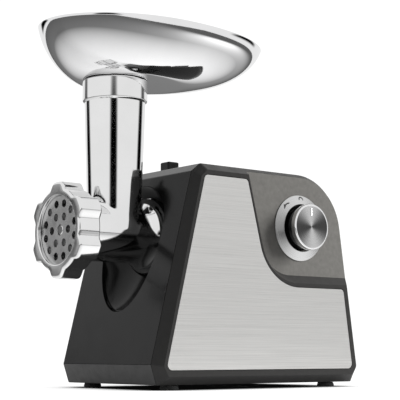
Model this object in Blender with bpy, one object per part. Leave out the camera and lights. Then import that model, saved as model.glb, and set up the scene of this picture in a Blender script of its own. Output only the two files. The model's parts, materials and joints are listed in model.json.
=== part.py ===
"""Electric meat grinder: motor housing, gear train, grinding head and hopper tray as separate parts.

Lengths are in millimetres until a mesh is made. X runs from the head (-X) to the back of the
machine, -Y is the side with the control knob, and Z is up from the surface it stands on.
"""

import math

import bmesh
import bpy
from mathutils import Matrix, Vector

MM = 0.001
GAP = 0.3  # between pieces that touch on the real machine
DATUM = (21.3525, 6.4, 0.0)  # puts the origin under the middle of the whole machine

# Housing, seen from the side: the outline between the side covers
UNDERSIDE = 4.5
BASE_TOP = 22.0
HOUSING_TOP = 201.5
FRONT_FOOT = (-115.0, 22.0)
FRONT_BROW = (-71.0, 193.6)
TOP_FRONT = (-61.0, HOUSING_TOP)
REAR_TOP_X = 106.1
REAR_TOP_R = 55.0
REAR_FOOT = (132.6, 22.0)
REAR_LEAN = (REAR_FOOT[0] - REAR_TOP_X) / (HOUSING_TOP - REAR_FOOT[1])
PAN_FRONT_X = -109.0
PAN_REAR_X = 126.8
WALL = 2.5

# Side covers: they start at SPLIT_Y and their flat face is at FACE_Y
SPLIT_Y = 69.0
FACE_Y = 79.0
COVER_WALL = 3.5
PANEL_THICK = 1.2
INSET_DEPTH = 5.0
PANEL_TOP = 190.0
PANEL_STEP_Z = 93.0
PANEL_STEP_X = 12.1
PANEL_KNEE_X = -12.8
PANEL_FOOT_Z = 17.3

# Control dial
DIAL_X = 55.5
DIAL_Z = 149.5
DIAL_SEAT_Y = -(FACE_Y - INSET_DEPTH)
BEZEL_R = 31.2
BEZEL_EYE_R = 22.4
KNOB_R = 20.8
CAP_R = 21.7
KNOB_FACE_Y = -91.7

# Feet
FOOT_R = 8.2
FOOT_XY = [(-88.0, -59.8), (-88.0, 59.8), (101.8, -59.8), (101.8, 59.8)]

# Grinding head
AXIS_Z = 140.0
BARREL_R = 26.0
BARREL_BORE_R = 22.5
BELL_R = 34.6
BELL_FRONT_X = -163.5
BELL_REAR_X = -148.0
BLADE_ROOM_R = 30.2
PLATE_R = 33.0
PLATE_FRONT_X = -164.5
PLATE_BACK_X = -159.5
PLATE_HOLE_R = 3.5
PLATE_HOLES = ((13.2, 6), (24.0, 12))  # ring radius and number of holes
FLANGE_R = 30.5
FLANGE_X = (-76.0, -72.0)
SPIGOT_REAR_X = -62.0
TUBE_X = -106.5
COLLAR_R = 30.1
COLLAR_Z = (261.8, 281.6)
SCOOP_R = 43.5
SCOOP_DEEP = 74.0
SCOOP_Z = 143.0
SCOOP_BACK_X = -68.2
SOCKET_R = 34.6

# Ring nut
NUT_R = 37.5
NUT_LUG_R = 43.0
NUT_X = (-168.5, -146.4)
NUT_EYE_R = 31.0

# Hopper tray
TRAY_BASE_Z = 281.9
TRAY_DEPTH = 47.0
TRAY_FLAT = (-97.2, 34.4, 58.8, 42.8)  # middle, then reach to the front, rear and sides, at the bottom
TRAY_RIM = (-75.8, 105.3, 134.7, 74.7)  # the same at the rim
TRAY_SWELL = 1.18
TRAY_SWING = 78
TRAY_SHEET = 1.6
TRAY_SPIGOT_R = 24.2

# Gear train: teeth, module, and the height of each axis, all in the plane y = 0
MOTOR_Z = 59.65
FIRST_Z = 81.25
SECOND_Z = 106.25
STAGES = {
    "motor": (9, 45, 0.8),
    "first": (10, 40, 1.0),
    "second": (11, 34, 1.5),
}
SHIFT = 0.4
BACKLASH = 0.22
GEARBOX_X = (-60.0, -4.0)
AXLE_R = 3.0

# Release button
BUTTON_X = -42.8
BUTTON_HALF = (6.5, 7.0)  # along X and along Y
BUTTON_CORNER_R = 2.2
BUTTON_TOP = 212.0

MATERIALS = {
    "black_gloss": ((0.012, 0.012, 0.013), 0.22, 0.0),
    "grey_cover": ((0.075, 0.073, 0.068), 0.42, 0.0),
    "black_matte": ((0.02, 0.02, 0.02), 0.6, 0.0),
    "brushed_steel": ((0.78, 0.78, 0.77), 0.35, 1.0),
    "mirror_steel": ((0.86, 0.86, 0.86), 0.06, 1.0),
    "cast_chrome": ((0.82, 0.82, 0.82), 0.1, 1.0),
    "dark_spun": ((0.3, 0.3, 0.3), 0.25, 1.0),
    "rubber": ((0.015, 0.015, 0.015), 0.85, 0.0),
    "white_mark": ((0.9, 0.9, 0.9), 0.5, 0.0),
    "gearbox_grey": ((0.24, 0.25, 0.26), 0.5, 0.0),
    "gear_steel": ((0.5, 0.5, 0.5), 0.4, 1.0),
    "gear_nylon": ((0.82, 0.8, 0.72), 0.5, 0.0),
    "lamination": ((0.33, 0.34, 0.36), 0.5, 1.0),
    "copper": ((0.72, 0.33, 0.16), 0.35, 1.0),
    "brass": ((0.75, 0.58, 0.25), 0.35, 1.0),
}


# ---------------------------------------------------------------- outlines


def rounded(corners, steps=3):
    """Outline through (a, b, radius) corners, with each corner turned into an arc of that radius."""
    points = []
    for i, (a, b, radius) in enumerate(corners):
        corner = Vector((a, b))
        if radius <= 0:
            points.append((a, b))
            continue
        back = (Vector(corners[i - 1][:2]) - corner).normalized()
        ahead = (Vector(corners[(i + 1) % len(corners)][:2]) - corner).normalized()
        half = back.angle(ahead) / 2
        centre = corner + (back + ahead).normalized() * radius / math.sin(half)
        start = corner + back * radius / math.tan(half) - centre
        sweep = start.angle_signed(corner + ahead * radius / math.tan(half) - centre)
        for k in range(steps + 1):
            arm = start.copy()
            arm.rotate(Matrix.Rotation(-sweep * k / steps, 2))
            points.append(tuple(centre + arm))
    return points


def offset(corners, distance):
    """The same corners moved inwards by distance, for corners that run clockwise in (a, b)."""
    moved = []
    for i, (a, b, radius) in enumerate(corners):
        corner = Vector((a, b))
        back = (corner - Vector(corners[i - 1][:2])).normalized()
        ahead = (Vector(corners[(i + 1) % len(corners)][:2]) - corner).normalized()
        inward = Vector((back.y, -back.x)) + Vector((ahead.y, -ahead.x))
        length = 2 * distance / inward.length
        inward.normalize()
        turn = back.x * ahead.y - back.y * ahead.x
        grown = radius - distance if turn < 0 else radius + distance
        moved.append((a + inward.x * length, b + inward.y * length, max(grown, 0.3) if radius else 0))
    return moved


def circle(radius, sides, a=0.0, b=0.0, start=0.0):
    turns = [start + 2 * math.pi * k / sides for k in range(sides)]
    return [(a + radius * math.cos(t), b + radius * math.sin(t)) for t in turns]


def front_x(z):
    """Where the sloping front face is at height z."""
    share = (z - FRONT_FOOT[1]) / (FRONT_BROW[1] - FRONT_FOOT[1])
    return FRONT_FOOT[0] + share * (FRONT_BROW[0] - FRONT_FOOT[0])


def rear_x(z):
    return REAR_FOOT[0] - REAR_LEAN * (z - REAR_FOOT[1])


def shell_corners(bottom):
    """Front, top and rear of the housing above the height bottom, clockwise in (x, z)."""
    return [
        (front_x(bottom), bottom, 0),
        (*FRONT_BROW, 3),
        (*TOP_FRONT, 3),
        (REAR_TOP_X, HOUSING_TOP, REAR_TOP_R),
        (rear_x(bottom), bottom, 0),
    ]


def side_root_corners():
    """Whole outline of a side cover where it meets the housing."""
    return [
        (PAN_FRONT_X, UNDERSIDE, 1.5),
        (*FRONT_FOOT, 2),
        (*FRONT_BROW, 3),
        (*TOP_FRONT, 3),
        (REAR_TOP_X, HOUSING_TOP, REAR_TOP_R),
        (*REAR_FOOT, 2),
        (PAN_REAR_X, UNDERSIDE, 1.5),
    ]


def side_face_corners():
    """Outline of a side cover's flat face, inside the chamfer."""
    return [
        (-103.2, 11.6, 4),
        (-108.3, 20.6, 5),
        (-67.2, 188.2, 4),
        (-60.6, 194.5, 4),
        (99.2, 194.5, 49),
        (125.2, 19.0, 5),
        (120.0, 11.6, 4),
    ]


def panel_corners():
    """Steel panel on the control side: it steps down under the dial in one sweep."""
    return [
        (-105.5, PANEL_FOOT_Z, 5),
        (-62.8, PANEL_TOP, 4),
        (PANEL_KNEE_X, PANEL_TOP, 4),
        (PANEL_STEP_X, PANEL_STEP_Z, 49),
        (108.8, PANEL_STEP_Z, 4),
        (119.7, PANEL_FOOT_Z, 5),
    ]


def plain_panel_corners():
    return [
        (-105.5, PANEL_FOOT_Z, 5),
        (-62.8, PANEL_TOP, 4),
        (92.6, PANEL_TOP, 45),
        (119.7, PANEL_FOOT_Z, 5),
    ]


def inset_corners(past_edge, floor_z, radius):
    """Area sunk around the dial: right of and above the panel's sweep, open to the top and rear."""
    slope = (PANEL_STEP_X - PANEL_KNEE_X) / (PANEL_TOP - PANEL_STEP_Z)

    def edge(z):
        return PANEL_KNEE_X + (PANEL_TOP - z) * slope + past_edge

    return [(edge(floor_z), floor_z, radius), (edge(220), 220, 0), (160, 220, 0), (160, floor_z, 0)]


# ---------------------------------------------------------------- meshes


def material(name):
    found = bpy.data.materials.get(name)
    if found:
        return found
    colour, roughness, metallic = MATERIALS[name]
    made = bpy.data.materials.new(name)
    made.use_nodes = True
    shader = made.node_tree.nodes["Principled BSDF"]
    shader.inputs["Base Color"].default_value = (*colour, 1)
    shader.inputs["Roughness"].default_value = roughness
    shader.inputs["Metallic"].default_value = metallic
    made.diffuse_color = (*colour, 1)
    return made


def to_object(name, shape, finish, pivot=(0, 0, 0)):
    """An object on the datum from a bmesh in millimetres, with its origin at pivot."""
    bmesh.ops.recalc_face_normals(shape, faces=shape.faces)
    bmesh.ops.translate(shape, vec=-Vector(pivot), verts=shape.verts)
    bmesh.ops.scale(shape, vec=(MM, MM, MM), verts=shape.verts)
    mesh = bpy.data.meshes.new(name)
    shape.to_mesh(mesh)
    shape.free()
    mesh.shade_smooth()
    mesh.set_sharp_from_angle(angle=math.radians(30))
    made = bpy.data.objects.new(name, mesh)
    bpy.context.scene.collection.objects.link(made)
    made.parent = bpy.data.objects["machine_datum"]
    made.location = Vector(pivot) * MM
    if finish:
        made.data.materials.append(material(finish))
    return made


def rings_to_mesh(rings, looped=False):
    """Skin over rings of equal length. A looped skin closes on itself, another gets two end caps."""
    shape = bmesh.new()
    rows = [[shape.verts.new(p) for p in ring] for ring in rings]
    pairs = list(zip(rows, rows[1:] + rows[:1])) if looped else list(zip(rows, rows[1:]))
    for low, high in pairs:
        for k in range(len(low)):
            after = (k + 1) % len(low)
            shape.faces.new((low[k], low[after], high[after], high[k]))
    if not looped:
        shape.faces.new(rows[0][::-1])
        shape.faces.new(rows[-1])
    return shape


AXES = {
    "x": lambda t, a, b: (t, a, b),
    "y": lambda t, a, b: (a, t, b),
    "z": lambda t, a, b: (a, b, t),
}


def prism(outline, axis, low, high):
    """Outline pushed along an axis. The outline is (y, z), (x, z) or (x, y)."""
    place = AXES[axis]
    return rings_to_mesh([[place(t, a, b) for a, b in outline] for t in (low, high)])


def turned(profile, axis, sides, a=0.0, b=0.0, start=0.0):
    """Closed (radius, along) profile turned round an axis through (a, b): a ring with a hole."""
    place = AXES[axis]
    rings = []
    for k in range(sides):
        turn = start + 2 * math.pi * k / sides
        ring = [place(t, a + r * math.cos(turn), b + r * math.sin(turn)) for r, t in profile]
        rings.append(ring)
    return rings_to_mesh(rings, looped=True)


def spindle(profile, axis, sides, a=0.0, b=0.0, start=0.0):
    """(radius, along) profile turned round an axis through (a, b), solid, with flat ends."""
    place = AXES[axis]
    return rings_to_mesh([[place(t, *p) for p in circle(r, sides, a, b, start)] for r, t in profile])


def box(low, high):
    return prism([(low[1], low[2]), (high[1], low[2]), (high[1], high[2]), (low[1], high[2])],
                 "x", low[0], high[0])


def combine(target, shape, operation, label):
    """Adds or cuts a shape with a Boolean, keeping the shape as a hidden wire helper."""
    tool = to_object(f"{target.name}_{label}", shape, None)
    tool.hide_render = True
    tool.display_type = "WIRE"
    modifier = target.modifiers.new(label, "BOOLEAN")
    modifier.operation = operation
    modifier.solver = "EXACT"
    modifier.object = tool
    return tool


def cut(target, shape, label):
    return combine(target, shape, "DIFFERENCE", label)


def add(target, shape, label):
    return combine(target, shape, "UNION", label)


# ---------------------------------------------------------------- housing


def scoop_rings(grow, front_extra, back_x, sides=28):
    """Recess in the front face round the head: a deep oval at the face, a circle at the socket."""
    rings = []
    for share in (-front_extra, 0.0, 0.3, 0.65, 1.0):
        ring = []
        for k in range(sides):
            turn = 2 * math.pi * k / sides
            reach = SCOOP_R if math.cos(turn) > 0 else SCOOP_DEEP
            face_y = SCOOP_R * math.sin(turn)
            face_z = SCOOP_Z + reach * math.cos(turn)
            back_r = SOCKET_R + 1.0
            blend = max(share, 0.0) ** 1.5
            y = face_y + (back_r * math.sin(turn) - face_y) * blend
            z = face_z + (AXIS_Z + back_r * math.cos(turn) - face_z) * blend
            x = front_x(face_z) + (back_x - front_x(face_z)) * share
            ring.append((x, y + grow * math.sin(turn), z + grow * math.cos(turn)))
        rings.append(ring)
    return rings


def make_main_housing():
    reach = SPLIT_Y - GAP
    outline = rounded(shell_corners(BASE_TOP + GAP), 4)
    housing = to_object("main_housing", prism(outline, "y", -reach, reach), "black_gloss")
    inner = rounded(offset(shell_corners(BASE_TOP - 12), WALL), 4)
    cut(housing, prism(inner, "y", -reach - 9, reach + 9), "hollow")
    add(housing, rings_to_mesh(scoop_rings(WALL, -0.04, SCOOP_BACK_X)[1:]), "scoop_wall")
    inner_scoop = scoop_rings(0.0, 0.35, SCOOP_BACK_X)
    inner_scoop.append([(-58.0, y, z) for _, y, z in inner_scoop[-1]])
    cut(housing, rings_to_mesh(inner_scoop), "scoop")
    cut(housing, prism(button_outline(0.6), "z", 190, 210), "button_hole")
    cut(housing, gland_shape([(6.2, -12), (6.2, 12)]), "cord_hole")
    for k in range(7):
        y = (k - 3) * 9.0
        cut(housing, box((100, y - 1.5, 84), (150, y + 1.5, 122)), f"vent_{k}")


def gland_shape(profile, ring=False):
    """Turned shape on the cord inlet's axis, which stands square to the sloping rear wall."""
    shape = (turned if ring else spindle)(profile, "x", 16)
    tilt = math.atan(REAR_LEAN)
    bmesh.ops.rotate(shape, cent=(0, 0, 0), matrix=Matrix.Rotation(-tilt, 3, "Y"), verts=shape.verts)
    bmesh.ops.translate(shape, vec=(rear_x(48), 30, 48), verts=shape.verts)
    return shape


def make_cord_inlet():
    profile = [(3.6, -9), (5.9, -9), (5.9, GAP), (9.5, GAP), (9.0, 3.0), (5.4, 5.0), (5.0, 9.0), (3.6, 9.0)]
    to_object("cord_inlet_gland", gland_shape(profile, ring=True), "black_matte")


def make_base_pan():
    reach = SPLIT_Y - GAP
    corners = [(PAN_FRONT_X, UNDERSIDE, 1.5), (*FRONT_FOOT, 0), (*REAR_FOOT, 0),
               (PAN_REAR_X, UNDERSIDE, 1.5)]
    pan = to_object("base_pan", prism(rounded(corners), "y", -reach, reach), "black_matte")
    floor_z, thick = UNDERSIDE + WALL, 3.2
    room = [(PAN_FRONT_X + thick, floor_z), (-112, 27), (128.6, 27), (PAN_REAR_X - thick, floor_z)]
    cut(pan, prism(room, "y", -reach + WALL, reach - WALL), "room")
    for k, (x, y) in enumerate(FOOT_XY):
        add(pan, spindle([(5, UNDERSIDE + 1), (4.5, 16)], "z", 16, x, y), f"boss_{k}")
        cut(pan, spindle([(1.8, 0), (1.8, 14.6)], "z", 10, x, y), f"boss_hole_{k}")
    for k in range(5):
        x = 20 + k * 9.0
        cut(pan, box((x - 1.8, -26, 0), (x + 1.8, 26, 12)), f"vent_{k}")


def mirrored(corners_to_rings, side):
    """Rings for the control side, turned over for the plain side."""
    return [[(x, y * side, z) for x, y, z in ring] for ring in corners_to_rings]


def cover_rings(inward, root_y, face_y, steps):
    """Side cover body, or its hollow: the housing outline at root_y and the face outline at face_y."""
    root = rounded(offset(side_root_corners(), inward) if inward else side_root_corners(), steps)
    face = rounded(offset(side_face_corners(), inward) if inward else side_face_corners(), steps)
    rings = [[(x, -SPLIT_Y, z) for x, z in root], [(x, -face_y, z) for x, z in face]]
    if root_y < SPLIT_Y:
        rings.insert(0, [(x, -root_y, z) for x, z in root])
    return rings


def make_side_cover(name, side, panel_outline, has_dial):
    cover = to_object(name, rings_to_mesh(mirrored(cover_rings(0, SPLIT_Y, FACE_Y, 4), side)), "grey_cover")
    hollow = rings_to_mesh(mirrored(cover_rings(WALL, SPLIT_Y - 6, FACE_Y - COVER_WALL, 4), side))
    room = cut(cover, hollow, "hollow")
    recess = rounded(offset(panel_outline, -0.5), 6)
    low, high = sorted((side * -(FACE_Y - PANEL_THICK - GAP), side * -(FACE_Y + 4)))
    cut(cover, prism(recess, "y", low, high), "panel_recess")
    if not has_dial:
        return
    floor_y = -(FACE_Y - INSET_DEPTH)
    at_floor = rounded(inset_corners(3.8, 104.5, 38), 6)
    at_face = rounded(inset_corners(2.6, 97.0, 44), 6)
    past_face = rounded(inset_corners(2.1, 94.0, 45), 6)
    sunk = [[(x, y, z) for x, z in outline]
            for outline, y in ((at_floor, floor_y), (at_face, -FACE_Y), (past_face, -FACE_Y - 2))]
    cut(cover, rings_to_mesh(sunk), "dial_inset")
    wall = rounded(inset_corners(0.2, 94.0, 45), 6)
    backing = prism(wall, "y", -FACE_Y - 4, floor_y + WALL)
    cut(room, backing, "inset_wall")
    cut(cover, spindle([(5, -90), (5, -60)], "y", 20, DIAL_X, DIAL_Z), "spindle_hole")


def make_panels():
    for name, side, corners in (("control_side_panel", 1, panel_corners()),
                                ("plain_side_panel", -1, plain_panel_corners())):
        low, high = sorted((side * -(FACE_Y - PANEL_THICK), side * -FACE_Y))
        to_object(name, prism(rounded(corners, 6), "y", low, high), "brushed_steel")


def make_feet():
    for k, (x, y) in enumerate(FOOT_XY):
        profile = [(1.9, UNDERSIDE - GAP), (7.4, UNDERSIDE - GAP), (FOOT_R, 1.0), (7.6, 0), (3.6, 0),
                   (3.6, 2.2), (1.9, 2.2)]
        to_object(f"foot_{k + 1}", turned(profile, "z", 12, x, y), "rubber", (x, y, 0))
        screw = [(2.6, 0.6), (3.2, 1.0), (3.2, 1.9), (1.4, 1.9), (1.4, 13.0), (0.6, 14.2)]
        to_object(f"foot_screw_{k + 1}", spindle(screw, "z", 8, x, y), "gear_steel", (x, y, 0))


def make_head_socket():
    """Ring in which the head's spigot turns: a lip with two gates, and a channel for the lugs."""
    profile = [(SOCKET_R, -71.5), (SOCKET_R, -60.3), (BARREL_R + 0.6, -60.3), (BARREL_R + 0.6, -64.5),
               (31.2, -64.5), (31.2, -69.2), (BARREL_R + 0.6, -69.2), (BARREL_R + 0.6, -71.5)]
    socket = to_object("head_socket", turned(profile, "x", 24, 0, AXIS_Z), "black_matte")
    for k in range(2):
        turn = math.radians(135 + 180 * k)
        gate = box((-73, 22, -6.2), (-68, 31.4, 6.2))
        bmesh.ops.rotate(gate, cent=(0, 0, 0), matrix=Matrix.Rotation(turn, 3, "X"), verts=gate.verts)
        bmesh.ops.translate(gate, vec=(0, 0, AXIS_Z), verts=gate.verts)
        cut(socket, gate, f"gate_{k}")
    cut(socket, box((-69, -4.6, AXIS_Z + 22), (-63, 4.6, AXIS_Z + 40)), "bolt_slot")


# ---------------------------------------------------------------- dial and button


def make_dial():
    pivot = (DIAL_X, 0, DIAL_Z)
    seat = DIAL_SEAT_Y - GAP
    ring = [(BEZEL_EYE_R, seat), (BEZEL_R, seat), (BEZEL_R, seat - 0.7), (BEZEL_EYE_R + 0.6, seat - 4.0),
            (BEZEL_EYE_R, seat - 3.8)]
    to_object("dial_bezel", turned(ring, "y", 32, DIAL_X, DIAL_Z), "brushed_steel")
    body = [(KNOB_R + 0.6, seat - 0.3), (KNOB_R + 0.6, seat - 1.2), (KNOB_R - 0.6, seat - 2.0),
            (KNOB_R, -86.0)]
    knob = to_object("control_knob", spindle(body, "y", 28, DIAL_X, DIAL_Z), "black_gloss", pivot)
    cut(knob, spindle([(3.5, -60), (3.5, -84)], "y", 12, DIAL_X, DIAL_Z), "spindle_socket")
    rim = [(CAP_R - 0.5, -86.3), (CAP_R, -86.8), (CAP_R, -90.6), (CAP_R - 1.1, KNOB_FACE_Y)]
    cap = to_object("knob_cap", spindle(rim, "y", 32, DIAL_X, DIAL_Z), "dark_spun", pivot)
    groove = box((DIAL_X - 1.1, KNOB_FACE_Y - 3, DIAL_Z + 9.7),
                 (DIAL_X + 1.1, KNOB_FACE_Y + 0.7, DIAL_Z + 18.3))
    cut(cap, groove, "pointer_groove")
    pointer = box((DIAL_X - 0.7, KNOB_FACE_Y - 0.1, DIAL_Z + 10.2),
                  (DIAL_X + 0.7, KNOB_FACE_Y + 0.4, DIAL_Z + 17.8))
    to_object("knob_pointer", pointer, "white_mark", pivot)
    stem = [(3.2, -83.7), (3.2, -54)]
    to_object("switch_spindle", spindle(stem, "y", 12, DIAL_X, DIAL_Z), "gear_steel", pivot)
    switch_half = 16.0
    block = box((DIAL_X - switch_half, -70.5, DIAL_Z - switch_half),
                (DIAL_X + switch_half, -49, DIAL_Z + switch_half))
    switch = to_object("rotary_switch", block, "black_matte")
    cut(switch, spindle([(3.6, -75), (3.6, -53)], "y", 12, DIAL_X, DIAL_Z), "spindle_hole")


def button_outline(grow):
    """The release button is a block with rounded corners. grow moves its sides outwards."""
    half_x, half_y = BUTTON_HALF[0] + grow, BUTTON_HALF[1] + grow
    radius = BUTTON_CORNER_R + grow
    corners = [(BUTTON_X - half_x, -half_y, radius), (BUTTON_X - half_x, half_y, radius),
               (BUTTON_X + half_x, half_y, radius), (BUTTON_X + half_x, -half_y, radius)]
    return rounded(corners, 5)


def stacked(sections):
    """Skin over (outline, z) sections."""
    return rings_to_mesh([[(x, y, z) for x, y in outline] for outline, z in sections])


def make_release():
    foot = HOUSING_TOP + GAP
    frame = stacked([(button_outline(3.6), foot), (button_outline(3.4), foot + 0.9),
                     (button_outline(2.2), foot + 1.7)])
    surround = to_object("button_surround", frame, "black_gloss")
    cut(surround, prism(button_outline(0.5), "z", foot - 1, foot + 3), "button_hole")
    pivot = (BUTTON_X, 0, HOUSING_TOP)
    block = stacked([(button_outline(0), 192.5), (button_outline(0), BUTTON_TOP - 1.0),
                     (button_outline(-1.0), BUTTON_TOP)])
    button = to_object("release_button", block, "black_gloss", pivot)
    add(button, spindle([(2.6, 180.0), (2.6, 194.0)], "z", 16, BUTTON_X), "stem")
    arm_end = BUTTON_X - BUTTON_HALF[0] - GAP
    arm = [(arm_end, 198), (arm_end, 193), (-64, 193), (-64, 170.6), (-67.6, 170.6), (-67.6, 190),
           (-61, 198)]
    bolt = prism(arm, "y", -4, 4)
    to_object("latch_bolt", bolt, "gear_steel", pivot)
    coil_r, wire, turns, per_turn = 5.2, 0.7, 4.5, 8
    low, high = 172.0, 191.6
    rings = []
    for k in range(int(turns * per_turn) + 1):
        turn = 2 * math.pi * k / per_turn
        z = low + (high - low) * k / (turns * per_turn)
        ring = []
        for j in range(4):
            lean = math.pi / 2 * j
            r = coil_r + wire * math.cos(lean)
            ring.append((BUTTON_X + r * math.cos(turn), r * math.sin(turn), z + wire * math.sin(lean)))
        rings.append(ring)
    to_object("release_spring", rings_to_mesh(rings), "gear_steel")


# ---------------------------------------------------------------- gear train


def gear_outline(teeth, module, shift, phase, flank=1):
    """Spur gear with involute flanks at 20 degrees and one tooth centred on the angle phase."""
    pitch_r = module * teeth / 2
    base_r = pitch_r * math.cos(math.radians(20))
    root_r = pitch_r - module * (1.25 - shift)
    tip_r = pitch_r + module * (1 + shift) - 0.08

    def involute(r):
        slope = math.acos(min(1.0, base_r / r))
        return math.tan(slope) - slope

    half_pitch = (math.pi / 2 + 2 * shift * math.tan(math.radians(20))) / teeth - BACKLASH / 2 / pitch_r
    low = max(base_r, root_r)
    radii = [low + (tip_r - low) * k / flank for k in range(flank + 1)]
    outline = []
    for k in range(teeth):
        centre = phase + 2 * math.pi * k / teeth
        halves = [(r, half_pitch + involute(pitch_r) - involute(r)) for r in radii]
        if root_r < base_r - 0.02:
            halves.insert(0, (root_r, halves[0][1]))
        for r, half in halves:
            outline.append((r * math.cos(centre - half), r * math.sin(centre - half)))
        for r, half in reversed(halves):
            outline.append((r * math.cos(centre + half), r * math.sin(centre + half)))
    return outline


def gear(teeth, module, shift, z, low, high, tooth_up):
    """Gear about the X axis at height z. tooth_up puts a tooth on top, else a gap underneath."""
    phase = math.pi / 2 if tooth_up else -math.pi / 2 + math.pi / teeth
    outline = [(y, height + z) for y, height in gear_outline(teeth, module, shift, phase)]
    return prism(outline, "x", low, high)


def make_compound_gear(name, finish, z, wheel_stage, wheel_x, pinion_stage, pinion_x):
    """Wheel driven by the stage before it, in one piece with the pinion of the next stage."""
    _, wheel_teeth, wheel_module = STAGES[wheel_stage]
    pinion_teeth, _, pinion_module = STAGES[pinion_stage]
    wheel = to_object(name, gear(wheel_teeth, wheel_module, -SHIFT, z, *wheel_x, False), finish, (0, 0, z))
    add(wheel, gear(pinion_teeth, pinion_module, SHIFT, z, *pinion_x, True), "pinion")
    cut(wheel, spindle([(AXLE_R + GAP, -70), (AXLE_R + GAP, 0)], "x", 10, 0, z), "bore")


def make_gear_train():
    teeth, _, module = STAGES["motor"]
    pinion = to_object("motor_pinion", gear(teeth, module, SHIFT, MOTOR_Z, -20, -9, True), "gear_steel",
                       (0, 0, MOTOR_Z))
    cut(pinion, spindle([(2.0, -24), (2.0, -5)], "x", 12, 0, MOTOR_Z), "bore")
    make_compound_gear("first_gear", "gear_nylon", FIRST_Z, "motor", (-19, -10), "first", (-34, -16))
    make_compound_gear("second_gear", "gear_steel", SECOND_Z, "first", (-33, -22), "second", (-53, -30))
    for name, z in (("first_gear_axle", FIRST_Z), ("second_gear_axle", SECOND_Z)):
        axle = spindle([(AXLE_R, GEARBOX_X[0] + WALL + GAP), (AXLE_R, GEARBOX_X[1] - GAP)], "x", 16, 0, z)
        to_object(name, axle, "gear_steel", (0, 0, z))
    _, teeth, module = STAGES["second"]
    output = to_object("output_gear", gear(teeth, module, -SHIFT, AXIS_Z, -52, -36, False), "gear_steel",
                       (0, 0, AXIS_Z))
    add(output, spindle([(12.4, -61.5), (12.4, -40)], "x", 24, 0, AXIS_Z), "sleeve")
    cut(output, prism([(y, z + AXIS_Z) for y, z in circle(8.2, 6)], "x", -70, -42), "drive_socket")


def gearbox_outline(inward, arc=12):
    """Round at the output gear and at the motor pinion, with straight sides between."""
    top_r, low_r = 31.0 - inward, 20.0 - inward
    lean = math.asin((31.0 - 20.0) / (AXIS_Z - MOTOR_Z))
    points = []
    for k in range(arc + 1):
        turn = -lean + (math.pi + 2 * lean) * k / arc
        points.append((top_r * math.cos(turn), AXIS_Z + top_r * math.sin(turn)))
    for k in range(arc + 1):
        turn = math.pi + lean + (math.pi - 2 * lean) * k / arc
        points.append((low_r * math.cos(turn), MOTOR_Z + low_r * math.sin(turn)))
    return points


def make_gearbox():
    front, rear = GEARBOX_X
    case = to_object("gearbox_housing", prism(gearbox_outline(0), "x", front, rear), "gearbox_grey")
    cut(case, prism(gearbox_outline(WALL), "x", front + WALL, rear + 5), "hollow")
    cut(case, spindle([(18.4, -70), (18.4, -50)], "x", 24, 0, AXIS_Z), "output_hole")
    plate = prism(gearbox_outline(0), "x", rear + GAP, rear + 2.8)
    cover = to_object("gearbox_cover", plate, "gearbox_grey")
    add(cover, spindle([(11.5, -2.6), (11.5, 3.8)], "x", 24, 0, MOTOR_Z), "bearing_boss")
    cut(cover, spindle([(8.3, -10), (8.3, 10)], "x", 24, 0, MOTOR_Z), "bearing_seat")
    bush = [(12.7, front - 0.5), (18.1, front - 0.5), (18.1, -54.5), (12.7, -54.5)]
    to_object("output_bearing", turned(bush, "x", 24, 0, AXIS_Z), "brass")


# ---------------------------------------------------------------- motor


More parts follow.
